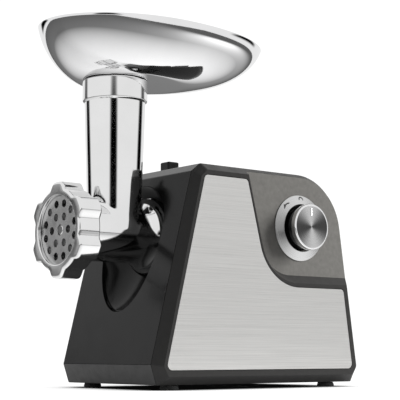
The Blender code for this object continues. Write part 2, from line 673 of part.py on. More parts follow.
def make_motor():
    z = MOTOR_Z
    pivot = (0, 0, z)
    shaft = [(1.7, -19.5), (1.7, -8.7), (AXLE_R, -8.7), (AXLE_R, 96.0)]
    to_object("motor_shaft", spindle(shaft, "x", 16, 0, z), "gear_steel", pivot)
    slots = 10
    outline = []
    for k in range(slots):
        for r, turn in ((18.8, 0.12), (18.8, 0.5), (18.8, 0.88), (14.0, 0.9), (14.0, 1.1)):
            angle = 2 * math.pi * (k + turn) / slots
            outline.append((r * math.cos(angle), z + r * math.sin(angle)))
    core = to_object("armature_core", prism(outline, "x", 18, 58), "lamination", pivot)
    cut(core, spindle([(AXLE_R + GAP, 0), (AXLE_R + GAP, 80)], "x", 16, 0, z), "bore")
    commutator = [(AXLE_R + GAP, 66), (13, 66), (13, 68.5), (11, 68.5), (11, 84), (AXLE_R + GAP, 84)]
    to_object("commutator", turned(commutator, "x", 24, 0, z), "copper", pivot)
    fan = to_object("cooling_fan", turned([(AXLE_R + GAP, 5), (26, 5), (26, 6.4), (9, 6.4), (9, 10.8),
                                           (AXLE_R + GAP, 10.8)], "x", 24, 0, z), "gear_nylon", pivot)
    for k in range(8):
        blade = box((5.8, -0.8, 8), (10.8, 0.8, 25.4))
        lean = Matrix.Rotation(math.pi * k / 4, 3, "X")
        bmesh.ops.rotate(blade, cent=(0, 0, 0), matrix=lean, verts=blade.verts)
        bmesh.ops.translate(blade, vec=(0, 0, z), verts=blade.verts)
        add(fan, blade, f"blade_{k}")
    frame = rounded([(-32, z - 32, 8), (-32, z + 32, 8), (32, z + 32, 8), (32, z - 32, 8)], 2)
    stator = to_object("stator_core", prism(frame, "x", 18, 58), "lamination")
    cut(stator, spindle([(19.5, 0), (19.5, 80)], "x", 32, 0, z), "bore")
    for name, up in (("lower_field_coil", -1), ("upper_field_coil", 1)):
        low, high = sorted((z + up * 9.6, z + up * 15.6))
        outer = rounded([(11.8, -27, 5), (11.8, 27, 5), (64.2, 27, 5), (64.2, -27, 5)], 2)
        coil = to_object(name, prism(outer, "z", low, high), "copper")
        eye = [(17.4, -20.6), (17.4, 20.6), (58.6, 20.6), (58.6, -20.6)]
        cut(coil, prism(eye, "z", low - 5, high + 5), "eye")
        for side in (-1, 1):
            near, far = sorted((side * 15, side * 27.6))
            window = box((0, near, low - 0.6), (80, far, high + 0.6))
            cut(stator, window, f"window_{name}_{side + 1}")
    bracket = [(58.4, 26), (58.4, 31.6), (91, 31.6), (91, -31.6), (58.4, -31.6), (58.4, -26), (88, -26),
               (88, 26)]
    rear = to_object("motor_rear_bracket", prism(bracket, "z", z - 7, z + 7), "gear_steel")
    add(rear, spindle([(11.5, 87), (11.5, 95)], "x", 24, 0, z), "bearing_boss")
    cut(rear, spindle([(8.3, 80), (8.3, 99)], "x", 24, 0, z), "bearing_seat")
    for name, low in (("motor_front_bearing", -3.4), ("motor_rear_bearing", 87.3)):
        race = [(AXLE_R + 0.06, low), (8.0, low), (8.0, low + 6.6), (AXLE_R + 0.06, low + 6.6)]
        to_object(name, turned(race, "x", 20, 0, z), "brass")
    for name, side in (("brush_holder_left", -1), ("brush_holder_right", 1)):
        near, far = sorted((side * 11.4, side * 25.6))
        to_object(name, box((72, near, z - 3.6), (80, far, z + 3.6)), "brass")


# ---------------------------------------------------------------- grinding head


def make_head():
    pivot = (0, 0, AXIS_Z)
    shape = [(BELL_R, BELL_FRONT_X), (BELL_R, BELL_REAR_X - 0.4), (BARREL_R + 4.0, BELL_REAR_X + 2.4),
             (BARREL_R, -141), (BARREL_R, -89), (BARREL_R + 0.8, -83.5), (BARREL_R + 2.4, -79),
             (FLANGE_R, FLANGE_X[0]), (FLANGE_R, FLANGE_X[1]), (BARREL_R, FLANGE_X[1]),
             (BARREL_R, SPIGOT_REAR_X)]
    head = to_object("head_casting", spindle(shape, "x", 28, 0, AXIS_Z), "cast_chrome", pivot)
    tube = [(25.0, AXIS_Z + 6), (25.3, 176), (28.2, 261), (COLLAR_R - 0.6, COLLAR_Z[0]),
            (COLLAR_R, COLLAR_Z[0] + 0.8), (COLLAR_R, COLLAR_Z[1] - 0.8), (COLLAR_R - 0.8, COLLAR_Z[1])]
    add(head, spindle(tube, "z", 28, TUBE_X), "feed_tube")
    for k, side in enumerate((-1, 1)):
        near, far = sorted((side * 24, side * 30.4))
        add(head, box((-68.8, near, AXIS_Z - 5), (-66.0, far, AXIS_Z + 5)), f"lug_{k}")
    bore = [(PLATE_R + 0.4, BELL_FRONT_X - 5), (PLATE_R + 0.4, PLATE_BACK_X + GAP),
            (BLADE_ROOM_R, PLATE_BACK_X + GAP), (BLADE_ROOM_R, -150.5), (BARREL_BORE_R, -149),
            (BARREL_BORE_R, -76.0), (12.6, -76.0), (12.6, SPIGOT_REAR_X + 5)]
    cut(head, spindle(bore, "x", 28, 0, AXIS_Z), "bore")
    throat = [(21.8, AXIS_Z), (22.2, 176), (24.8, 264), (24.8, 290)]
    cut(head, spindle(throat, "z", 24, TUBE_X), "throat")
    cut(head, box((-162.0, -1.8, AXIS_Z - PLATE_R - 1.0), (-155.0, 1.8, AXIS_Z - 26)), "key_seat")
    pin = box((-161.5, -1.2, AXIS_Z - PLATE_R - 0.6), (-155.6, 1.2, AXIS_Z - 31.0))
    to_object("plate_key_pin", pin, "gear_steel")


def make_auger():
    pivot = (0, 0, AXIS_Z)
    core_r, flight_r, pitch = 8.0, 21.6, 24.0
    lobe = [(math.radians(a), flight_r) for a in (-28, -14, 0, 14, 28)]
    root = [(math.radians(a), core_r) for a in (44, 80, 115, 150, 180, 210, 245, 280, 316)]
    start_x, end_x, stations = -148.0, -80.6, 25
    rings = []
    for k in range(stations + 1):
        x = start_x + (end_x - start_x) * k / stations
        twist = 2 * math.pi * (x - start_x) / pitch
        ring = []
        for angle, r in lobe + root:
            grown = min(r, core_r + (r - core_r) * min(1.0, 0.25 + k / 4))
            ring.append((x, grown * math.cos(angle + twist), AXIS_Z + grown * math.sin(angle + twist)))
        rings.append(ring)
    auger = to_object("feed_auger", rings_to_mesh(rings), "cast_chrome", pivot)
    add(auger, spindle([(11.2, -84), (11.2, -62.5)], "x", 24, 0, AXIS_Z), "journal")
    add(auger, prism([(y, z + AXIS_Z) for y, z in circle(7.7, 6)], "x", -64, -43.5), "hex_drive")
    add(auger, box((-158.6, -5, AXIS_Z - 5), (-146, 5, AXIS_Z + 5)), "blade_square")
    add(auger, spindle([(4.0, -163.9), (4.4, -163.4), (4.4, -157)], "x", 16, 0, AXIS_Z), "nose")
    washer = [(11.6, -79.0), (20.0, -79.0), (20.0, -76.4), (11.6, -76.4)]
    to_object("auger_washer", turned(washer, "x", 24, 0, AXIS_Z), "gear_nylon", pivot)


def make_blade():
    outline = []
    for k in range(4):
        turn = math.pi / 2 * k + math.pi / 4
        for r, lean in ((28.6, -0.14), (28.9, 0.06), (19.0, 0.24), (11.5, 0.62), (11.5, 0.95)):
            outline.append((r * math.cos(turn + lean), AXIS_Z + r * math.sin(turn + lean)))
    blade = to_object("cutting_blade", prism(outline, "x", -159.1, -153.4), "gear_steel", (0, 0, AXIS_Z))
    cut(blade, box((-170, -5.3, AXIS_Z - 5.3), (-145, 5.3, AXIS_Z + 5.3)), "square_hole")


def make_plate():
    outline = circle(PLATE_R, 44, 0, AXIS_Z)
    plate = to_object("cutting_plate", prism(outline, "x", PLATE_FRONT_X, PLATE_BACK_X), "gear_steel",
                      (0, 0, AXIS_Z))
    cut(plate, spindle([(4.9, -170), (4.9, -150)], "x", 16, 0, AXIS_Z), "eye")
    for row, (ring_r, count) in enumerate(PLATE_HOLES):
        for k in range(count):
            turn = 2 * math.pi * (k + 0.5 * row) / count
            hole = spindle([(PLATE_HOLE_R, -170), (PLATE_HOLE_R, -150)], "x", 6, ring_r * math.cos(turn),
                           AXIS_Z + ring_r * math.sin(turn))
            cut(plate, hole, f"hole_{row}_{k}")
    cut(plate, box((-170, -1.7, AXIS_Z - PLATE_R - 3), (-150, 1.7, AXIS_Z - 30.4)), "key_notch")


def nut_outline(grow=0.0):
    """Round nut with six rounded grips, the first on top."""
    outline = []
    for k in range(6):
        for lean, r in ((-30, 0), (-18, 0.04), (-13.5, 0.3), (-10, 0.84), (-7, 1), (7, 1), (10, 0.84),
                        (13.5, 0.3), (18, 0.04)):
            turn = math.radians(90 + 60 * k + lean)
            reach = NUT_R + r * (NUT_LUG_R - NUT_R) + grow
            outline.append((reach * math.cos(turn), AXIS_Z + reach * math.sin(turn)))
    return outline


def make_ring_nut():
    front, rear = NUT_X
    rings = []
    for x, grow in ((front, -1.6), (front + 1.4, 0), (rear, 0)):
        rings.append([(x, y, z) for y, z in nut_outline(grow)])
    nut = to_object("ring_nut", rings_to_mesh(rings), "cast_chrome", (0, 0, AXIS_Z))
    thread = [(BELL_R + 0.5, PLATE_FRONT_X - GAP), (BELL_R + 0.5, rear + 9)]
    cut(nut, spindle(thread, "x", 40, 0, AXIS_Z), "thread")
    cut(nut, spindle([(NUT_EYE_R, front - 9), (NUT_EYE_R, rear + 9)], "x", 40, 0, AXIS_Z), "mouth")


# ---------------------------------------------------------------- hopper tray


def tray_ring(swing, z, inward, sides=32):
    """Egg-shaped plan of the bowl. swing runs from 0 at its flat bottom to TRAY_SWING at its rim."""
    share = (math.sin(swing) / math.sin(math.radians(TRAY_SWING))) ** TRAY_SWELL
    centre, front, rear, across = (a + (b - a) * share for a, b in zip(TRAY_FLAT, TRAY_RIM))
    ring = []
    for k in range(sides):
        turn = 2 * math.pi * k / sides
        along = (front if math.cos(turn) < 0 else rear) - inward
        ring.append((centre + along * math.cos(turn), (across - inward) * math.sin(turn), z))
    return ring


def bowl_rings(lift, inward, top_extra):
    rings = []
    for degrees in (0, 18, 34, 50, 65, TRAY_SWING):
        swing = math.radians(degrees)
        rise = (1 - math.cos(swing)) / (1 - math.cos(math.radians(TRAY_SWING)))
        rings.append(tray_ring(swing, TRAY_BASE_Z + lift + TRAY_DEPTH * rise, inward))
    if top_extra:
        rings.append([(x, y, z + top_extra) for x, y, z in rings[-1]])
    return rings


def make_tray():
    bowl = rings_to_mesh(bowl_rings(0, 0, 0))
    tray = to_object("hopper_tray", bowl, "mirror_steel", (TUBE_X, 0, TRAY_BASE_Z))
    cut(tray, rings_to_mesh(bowl_rings(TRAY_SHEET, TRAY_SHEET, 5)), "bowl")
    add(tray, spindle([(TRAY_SPIGOT_R, 265), (TRAY_SPIGOT_R, TRAY_BASE_Z + 1)], "z", 28, TUBE_X), "spigot")
    cut(tray, spindle([(TRAY_SPIGOT_R - 1.4, 250), (TRAY_SPIGOT_R - 1.4, 300)], "z", 28, TUBE_X), "throat")


def clear_scene():
    for old in list(bpy.data.objects):
        bpy.data.objects.remove(old, do_unlink=True)


def main():
    clear_scene()
    datum = bpy.data.objects.new("machine_datum", None)
    datum.location = Vector(DATUM) * MM
    bpy.context.scene.collection.objects.link(datum)
    make_main_housing()
    make_cord_inlet()
    make_base_pan()
    make_side_cover("control_side_cover", 1, panel_corners(), True)
    make_side_cover("plain_side_cover", -1, plain_panel_corners(), False)
    make_panels()
    make_feet()
    make_head_socket()
    make_dial()
    make_release()
    make_gear_train()
    make_gearbox()
    make_motor()
    make_head()
    make_auger()
    make_blade()
    make_plate()
    make_ring_nut()
    make_tray()


main()
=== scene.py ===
"""Looks of the electric meat grinder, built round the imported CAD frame.

Shapes are written in millimetres on the machine's own datum: X runs from the head (-X) to the
back, -Y is the side with the dial, Z is up, and y = 0 is the plane through the grinding head.
"""

import json
import math

import bmesh
import bpy
from mathutils import Matrix, Vector


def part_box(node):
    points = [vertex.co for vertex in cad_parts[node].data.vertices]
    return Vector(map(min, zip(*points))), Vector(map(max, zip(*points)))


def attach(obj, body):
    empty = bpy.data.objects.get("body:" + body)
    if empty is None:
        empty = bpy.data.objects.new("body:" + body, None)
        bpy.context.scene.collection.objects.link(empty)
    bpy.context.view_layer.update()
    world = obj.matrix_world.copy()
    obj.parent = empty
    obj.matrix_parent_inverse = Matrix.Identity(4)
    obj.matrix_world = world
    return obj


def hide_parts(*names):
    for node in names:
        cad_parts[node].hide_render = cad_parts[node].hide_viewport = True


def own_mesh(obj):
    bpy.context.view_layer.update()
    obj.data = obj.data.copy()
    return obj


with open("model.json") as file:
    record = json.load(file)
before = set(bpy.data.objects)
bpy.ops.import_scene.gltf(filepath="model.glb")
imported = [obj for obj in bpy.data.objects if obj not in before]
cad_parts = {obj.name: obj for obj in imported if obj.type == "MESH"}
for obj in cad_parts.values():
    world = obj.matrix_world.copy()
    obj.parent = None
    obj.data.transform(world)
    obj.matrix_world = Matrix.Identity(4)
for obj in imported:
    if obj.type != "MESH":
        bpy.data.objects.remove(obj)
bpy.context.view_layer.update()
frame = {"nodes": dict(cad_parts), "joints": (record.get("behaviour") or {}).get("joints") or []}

MM = 0.001
JOINTS = {joint["name"]: joint for joint in frame["joints"]}
HEAD_POINT = Vector(JOINTS["auger_turn"]["pos_m"])
DATUM = Vector((HEAD_POINT.x, HEAD_POINT.y, 0.0))
AXIS_Z = HEAD_POINT.z / MM


def node_box(name):
    """Lowest and highest corner of a CAD node, in millimetres on the datum."""
    low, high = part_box(name)
    return (Vector(low) - DATUM) / MM, (Vector(high) - DATUM) / MM


# ---------------------------------------------------------------- sizes read from the frame

HOUSING_LOW, HOUSING_HIGH = node_box("main_housing")
COVER_LOW, COVER_HIGH = node_box("control_side_cover")
NUT_LOW, NUT_HIGH = node_box("ring_nut")
TRAY_LOW, TRAY_HIGH = node_box("hopper_tray")
CAP_LOW, CAP_HIGH = node_box("knob_cap")
BEZEL_LOW, BEZEL_HIGH = node_box("dial_bezel")
BUTTON_LOW, BUTTON_HIGH = node_box("release_button")
PLATE_LOW, PLATE_HIGH = node_box("cutting_plate")
HEAD_LOW, HEAD_HIGH = node_box("head_casting")
SOCKET_LOW, SOCKET_HIGH = node_box("head_socket")

HOUSING_TOP = HOUSING_HIGH.z
UNDERSIDE = COVER_LOW.z
FRONT_FOOT = (-115.0, 22.0)
FRONT_BROW = (-71.0, 193.6)
TOP_FRONT = (-61.0, HOUSING_TOP)
REAR_TOP_X = 106.1
REAR_TOP_R = 55.0
REAR_FOOT = (132.6, 22.0)
REAR_LEAN = (REAR_FOOT[0] - REAR_TOP_X) / (HOUSING_TOP - REAR_FOOT[1])
PAN_FRONT_X = -109.0
PAN_REAR_X = 126.8
WALL = 2.5
GAP = 0.3

SPLIT_Y = 69.0
FACE_Y = -COVER_LOW.y
COVER_WALL = 3.5
PANEL_THICK = 1.2
INSET_DEPTH = 5.0
PANEL_TOP = 190.0
PANEL_STEP_Z = 93.0
PANEL_STEP_X = 12.1
PANEL_KNEE_X = -12.8
PANEL_FOOT_Z = 17.3

DIAL_X = (CAP_LOW.x + CAP_HIGH.x) / 2
DIAL_Z = (CAP_LOW.z + CAP_HIGH.z) / 2
DIAL_SEAT_Y = BEZEL_HIGH.y
BEZEL_R = (BEZEL_HIGH.z - BEZEL_LOW.z) / 2
BEZEL_EYE_R = 22.4
CAP_R = (CAP_HIGH.z - CAP_LOW.z) / 2
KNOB_R = CAP_R - 0.9
CAP_FACE_Y = CAP_LOW.y
CAP_BACK_Y = CAP_HIGH.y

BARREL_R = 26.0
BARREL_BORE_R = 22.5
BELL_R = 34.6
BELL_FRONT_X = HEAD_LOW.x
BELL_REAR_X = -148.0
BLADE_ROOM_R = 30.2
PLATE_R = (PLATE_HIGH.z - PLATE_LOW.z) / 2
PLATE_HOLE_R = 3.5
PLATE_HOLES = ((13.2, 6), (24.0, 12))
FLANGE_R = 30.5
FLANGE_X = (-76.0, -72.0)
SPIGOT_REAR_X = HEAD_HIGH.x
TUBE_X = -106.5
COLLAR_R = 30.1
COLLAR_Z = (261.8, HEAD_HIGH.z)
SOCKET_R = 34.6
SCOOP_R = 43.5
SCOOP_DEEP = 74.0
SCOOP_Z = 143.0
SCOOP_BACK_X = -68.2

NUT_LUG_R = 43.0
NUT_R = 37.5
NUT_EYE_R = 31.0

TRAY_BASE_Z = HEAD_HIGH.z + GAP
TRAY_RIM_Z = TRAY_HIGH.z
TRAY_FLAT = (-97.2, 34.4, 58.8, 42.8)  # middle, then reach to the front, rear and sides, at the bottom
TRAY_RIM = (-75.8, 105.3, 134.7, 74.7)  # the same at the rim
TRAY_SWELL = 1.18
TRAY_SWING = math.radians(78)
TRAY_SHEET = 1.0
TRAY_SPIGOT_R = 24.2
TRAY_SPIGOT_Z = TRAY_LOW.z

BUTTON_X = (BUTTON_LOW.x + BUTTON_HIGH.x) / 2
BUTTON_HALF = ((BUTTON_HIGH.x - BUTTON_LOW.x) / 2, (BUTTON_HIGH.y - BUTTON_LOW.y) / 2)
BUTTON_CORNER_R = 2.2
BUTTON_TOP = BUTTON_HIGH.z
SPRING_R = 5.2
SPRING_WIRE_R = 0.7
SPRING_TURNS = 4.5
SPRING_LOW = 172.0
SPRING_HIGH = 191.6

# Camera: a 111 mm lens, low in front of the head and looking slightly up
CAMERA_AT = (-746.96, -923.96, 32.47)
CAMERA_YAW = 38.74
CAMERA_PITCH = 7.05
CAMERA_LENS = 111.0


# ---------------------------------------------------------------- outlines


def rounded(corners, steps=8):
    """Outline through (a, b, radius) corners, with each corner turned into an arc of that radius."""
    points = []
    for i, (a, b, radius) in enumerate(corners):
        corner = Vector((a, b))
        if radius <= 0:
            points.append((a, b))
            continue
        back = (Vector(corners[i - 1][:2]) - corner).normalized()
        ahead = (Vector(corners[(i + 1) % len(corners)][:2]) - corner).normalized()
        half = back.angle(ahead) / 2
        centre = corner + (back + ahead).normalized() * radius / math.sin(half)
        start = corner + back * radius / math.tan(half) - centre
        sweep = start.angle_signed(corner + ahead * radius / math.tan(half) - centre)
        for k in range(steps + 1):
            arm = start.copy()
            arm.rotate(Matrix.Rotation(-sweep * k / steps, 2))
            points.append(tuple(centre + arm))
    return points


def offset(corners, distance):
    """The same corners moved inwards by distance, for corners that run clockwise in (a, b)."""
    moved = []
    for i, (a, b, radius) in enumerate(corners):
        corner = Vector((a, b))
        back = (corner - Vector(corners[i - 1][:2])).normalized()
        ahead = (Vector(corners[(i + 1) % len(corners)][:2]) - corner).normalized()
        inward = Vector((back.y, -back.x)) + Vector((ahead.y, -ahead.x))
        length = 2 * distance / inward.length
        inward.normalize()
        turn = back.x * ahead.y - back.y * ahead.x
        grown = radius - distance if turn < 0 else radius + distance
        moved.append((a + inward.x * length, b + inward.y * length, max(grown, 0.3) if radius else 0))
    return moved


def circle(radius, sides, a=0.0, b=0.0, start=0.0):
    turns = [start + 2 * math.pi * k / sides for k in range(sides)]
    return [(a + radius * math.cos(t), b + radius * math.sin(t)) for t in turns]


def front_x(z):
    share = (z - FRONT_FOOT[1]) / (FRONT_BROW[1] - FRONT_FOOT[1])
    return FRONT_FOOT[0] + share * (FRONT_BROW[0] - FRONT_FOOT[0])


def rear_x(z):
    return REAR_FOOT[0] - REAR_LEAN * (z - REAR_FOOT[1])


def shell_corners(bottom):
    """Front, top and rear of the housing above the height bottom, clockwise in (x, z)."""
    return [
        (front_x(bottom), bottom, 0),
        (*FRONT_BROW, 3),
        (*TOP_FRONT, 3),
        (REAR_TOP_X, HOUSING_TOP, REAR_TOP_R),
        (rear_x(bottom), bottom, 0),
    ]


def side_root_corners():
    """Whole outline of a side cover where it meets the housing."""
    return [
        (PAN_FRONT_X, UNDERSIDE, 1.5),
        (*FRONT_FOOT, 2),
        (*FRONT_BROW, 3),
        (*TOP_FRONT, 3),
        (REAR_TOP_X, HOUSING_TOP, REAR_TOP_R),
        (*REAR_FOOT, 2),
        (PAN_REAR_X, UNDERSIDE, 1.5),
    ]


def side_face_corners():
    """Outline of a side cover's flat face, inside the chamfer."""
    return [
        (-103.2, 11.6, 4),
        (-108.3, 20.6, 5),
        (-67.2, 188.2, 4),
        (-60.6, 194.5, 4),
        (99.2, 194.5, 49),
        (125.2, 19.0, 5),
        (120.0, 11.6, 4),
    ]


def panel_corners():
    """Steel panel on the control side: it steps down under the dial in one sweep."""
    return [
        (-105.5, PANEL_FOOT_Z, 5),
        (-62.8, PANEL_TOP, 4),
        (PANEL_KNEE_X, PANEL_TOP, 4),
        (PANEL_STEP_X, PANEL_STEP_Z, 49),
        (108.8, PANEL_STEP_Z, 4),
        (119.7, PANEL_FOOT_Z, 5),
    ]


def plain_panel_corners():
    return [
        (-105.5, PANEL_FOOT_Z, 5),
        (-62.8, PANEL_TOP, 4),
        (92.6, PANEL_TOP, 45),
        (119.7, PANEL_FOOT_Z, 5),
    ]


def inset_corners(past_edge, floor_z, radius):
    """Area sunk around the dial: right of and above the panel's sweep, open to the top and rear."""
    slope = (PANEL_STEP_X - PANEL_KNEE_X) / (PANEL_TOP - PANEL_STEP_Z)

    def edge(z):
        return PANEL_KNEE_X + (PANEL_TOP - z) * slope + past_edge

    return [(edge(floor_z), floor_z, radius), (edge(220), 220, 0), (160, 220, 0), (160, floor_z, 0)]


# ---------------------------------------------------------------- meshes


def to_object(name, shape, finish=None):
    """An object in metres in the row frame, from a bmesh in millimetres on the datum."""
    bmesh.ops.recalc_face_normals(shape, faces=shape.faces)
    bmesh.ops.transform(shape, matrix=Matrix.Translation(DATUM) @ Matrix.Scale(MM, 4), verts=shape.verts)
    mesh = bpy.data.meshes.new(name)
    shape.to_mesh(mesh)
    shape.free()
    made = bpy.data.objects.new(name, mesh)
    bpy.context.scene.collection.objects.link(made)
    if finish:
        made.data.materials.append(finish)
    return made


def rings_to_mesh(rings, looped=False):
    """Skin over rings of equal length. A looped skin closes on itself, another gets two end caps."""
    shape = bmesh.new()
    rows = [[shape.verts.new(p) for p in ring] for ring in rings]
    pairs = list(zip(rows, rows[1:] + rows[:1])) if looped else list(zip(rows, rows[1:]))
    for low, high in pairs:
        for k in range(len(low)):
            after = (k + 1) % len(low)
            shape.faces.new((low[k], low[after], high[after], high[k]))
    if not looped:
        shape.faces.new(rows[0][::-1])
        shape.faces.new(rows[-1])
    return shape


AXES = {
    "x": lambda t, a, b: (t, a, b),
    "y": lambda t, a, b: (a, t, b),
    "z": lambda t, a, b: (a, b, t),
}


def prism(outline, axis, low, high):
    place = AXES[axis]
    return rings_to_mesh([[place(t, a, b) for a, b in outline] for t in (low, high)])


def turned(profile, axis, sides, a=0.0, b=0.0):
    """Closed (radius, along) profile turned round an axis through (a, b): a ring with a hole."""
    place = AXES[axis]
    rings = []
    for k in range(sides):
        turn = 2 * math.pi * k / sides
        rings.append([place(t, a + r * math.cos(turn), b + r * math.sin(turn)) for r, t in profile])
    return rings_to_mesh(rings, looped=True)


def spindle(profile, axis, sides, a=0.0, b=0.0):
    """(radius, along) profile turned round an axis through (a, b), solid, with flat ends."""
    place = AXES[axis]
    return rings_to_mesh([[place(t, *p) for p in circle(r, sides, a, b)] for r, t in profile])


def box(low, high):
    return prism([(low[1], low[2]), (high[1], low[2]), (high[1], high[2]), (low[1], high[2])],
                 "x", low[0], high[0])


def combine(target, shape, operation):
    """Adds or cuts a shape for good."""
    tool = to_object("tool", shape)
    modifier = target.modifiers.new("join", "BOOLEAN")
    modifier.operation = operation
    modifier.solver = "EXACT"
    modifier.object = tool
    settle(target)
    bpy.data.objects.remove(tool, do_unlink=True)


def cut(target, shape):
    combine(target, shape, "DIFFERENCE")


def add(target, shape):
    combine(target, shape, "UNION")


def settle(target):
    """Replaces an object's mesh with the result of its modifiers."""
    bpy.context.view_layer.update()
    graph = bpy.context.evaluated_depsgraph_get()
    result = bpy.data.meshes.new_from_object(target.evaluated_get(graph))
    target.modifiers.clear()
    old = target.data
    target.data = result
    bpy.data.meshes.remove(old)


def soften(target, width=0.4, segments=3, angle=32):
    """Rounded edges, so that each one catches a highlight, with flat faces left flat."""
    target.data.shade_smooth()
    bevel = target.modifiers.new("edge_rounding", "BEVEL")
    bevel.width = width * MM
    bevel.segments = segments
    bevel.limit_method = "ANGLE"
    bevel.angle_limit = math.radians(angle)
    bevel.use_clamp_overlap = True
    bevel.harden_normals = True
    weighted = target.modifiers.new("flat_faces", "WEIGHTED_NORMAL")
    weighted.weight = 100
    settle(target)
    return target


def stand_for(piece, body, node):
    """Puts a piece in a CAD node's place."""
    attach(piece, body)
    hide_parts(node)
    return piece


# ---------------------------------------------------------------- materials


class Finish:
    """A Principled material with its node tree at hand."""

    def __init__(self, name, colour, roughness, metallic=0.0):
        self.material = bpy.data.materials.new(name)
        self.material.use_nodes = True
        self.nodes = self.material.node_tree.nodes
        self.links = self.material.node_tree.links
        self.shader = self.nodes["Principled BSDF"]
        self.set("Base Color", (*colour, 1))
        self.set("Roughness", roughness)
        self.set("Metallic", metallic)
        self.colour = colour
        self.roughness = roughness

    def set(self, socket, value):
        self.shader.inputs[socket].default_value = value

    def node(self, kind, **settings):
        made = self.nodes.new(kind)
        for key, value in settings.items():
            setattr(made, key, value)
        return made

    def noise(self, scale, detail=3.0, stretch=(1, 1, 1), rough=0.55):
        """Noise over the object's own space, stretched along an axis for a brushed grain."""
        coords = self.node("ShaderNodeTexCoord")
        mapping = self.node("ShaderNodeMapping")
        mapping.inputs["Scale"].default_value = stretch
        texture = self.node("ShaderNodeTexNoise")
        texture.inputs["Scale"].default_value = scale
        texture.inputs["Detail"].default_value = detail
        texture.inputs["Roughness"].default_value = rough
        self.links.new(coords.outputs["Object"], mapping.inputs["Vector"])
        self.links.new(mapping.outputs["Vector"], texture.inputs["Vector"])
        return texture.outputs["Fac"]

    def spread(self, source, low, high, start=0.3, end=0.7):
        """Maps a 0 to 1 pattern to a range of values."""
        mapped = self.node("ShaderNodeMapRange")
        mapped.inputs["From Min"].default_value = start
        mapped.inputs["From Max"].default_value = end
        mapped.inputs["To Min"].default_value = low
        mapped.inputs["To Max"].default_value = high
        self.links.new(source, mapped.inputs["Value"])
        return mapped.outputs["Result"]

    def vary_roughness(self, source, amount):
        low, high = self.roughness - amount, self.roughness + amount
        self.links.new(self.spread(source, low, high), self.shader.inputs["Roughness"])

    def vary_colour(self, source, darker, lighter):
        ramp = self.node("ShaderNodeValToRGB")
        ramp.color_ramp.elements[0].position = 0.3
        ramp.color_ramp.elements[1].position = 0.7
        ramp.color_ramp.elements[0].color = (*[c * darker for c in self.colour], 1)
        ramp.color_ramp.elements[1].color = (*[min(c * lighter, 1.0) for c in self.colour], 1)
        self.links.new(source, ramp.inputs["Fac"])
        self.links.new(ramp.outputs["Color"], self.shader.inputs["Base Color"])

    def bump(self, source, strength, depth):
        bump = self.node("ShaderNodeBump")
        bump.inputs["Strength"].default_value = strength
        bump.inputs["Distance"].default_value = depth
        self.links.new(source, bump.inputs["Height"])
        self.links.new(bump.outputs["Normal"], self.shader.inputs["Normal"])


def gloss_black():
    made = Finish("gloss_black_plastic", (0.0035, 0.0035, 0.0035), 0.17)
    made.set("Specular IOR Level", 0.25)
    cloud = made.noise(60, 4)
    made.vary_roughness(cloud, 0.04)
    made.vary_colour(cloud, 0.85, 1.2)
    made.bump(made.noise(900, 2), 0.05, 0.0001)
    return made.material


def dark_cover():
    made = Finish("dark_frame_plastic", (0.018, 0.0175, 0.017), 0.42)
    made.set("Specular IOR Level", 0.25)
    made.vary_roughness(made.noise(90, 3), 0.05)
    made.vary_colour(made.noise(220, 4), 0.9, 1.12)
    made.bump(made.noise(1400, 2), 0.12, 0.00012)
    return made.material


def painted_light_grey_cover():
    # A lighter copy of the frame plastic for the dial recess: painted light for the key light on the recess
    # floor.
    made = Finish("warm_grey_painted_light_plastic", (0.1, 0.097, 0.091), 0.42)
    made.set("Specular IOR Level", 0.25)
    grain = made.noise(1400, 2)
    made.vary_roughness(made.noise(90, 3), 0.05)
    made.vary_colour(made.noise(220, 4), 0.9, 1.12)
    made.bump(grain, 0.12, 0.00012)
    return made.material


def matte_black():
    made = Finish("matte_black_plastic", (0.009, 0.009, 0.009), 0.45)
    grain = made.noise(1200, 2)
    made.vary_roughness(made.noise(120, 3), 0.07)
    made.vary_colour(grain, 0.85, 1.25)
    made.bump(grain, 0.15, 0.00015)
    return made.material


def black_rubber():
    made = Finish("black_rubber", (0.014, 0.014, 0.014), 0.75)
    grain = made.noise(1500, 3)
    made.vary_roughness(grain, 0.08)
    made.vary_colour(grain, 0.8, 1.3)
    made.bump(grain, 0.25, 0.0002)
    return made.material


def mirror_steel(name, roughness, colour=(0.86, 0.86, 0.865)):
    """Polished metal: a faint haze and very fine polishing marks."""
    made = Finish(name, colour, roughness, 1.0)
    haze = made.noise(35, 4)
    made.vary_roughness(haze, roughness * 0.35)
    made.vary_colour(haze, 0.97, 1.02)
    return made.material


def brushed_steel(name="brushed_panel_steel", stretch=(3, 60, 900)):
    """Sheet brushed along X: long streaks that differ from line to line."""
    made = Finish(name, (0.73, 0.725, 0.71), 0.34, 1.0)
    made.set("Anisotropic", 0.4)
    streaks = made.noise(4, 5, stretch, 0.7)
    made.vary_roughness(streaks, 0.07)
    made.vary_colour(streaks, 0.78, 1.08)
    made.bump(made.noise(7, 4, stretch, 0.7), 0.14, 0.0001)
    return made.material


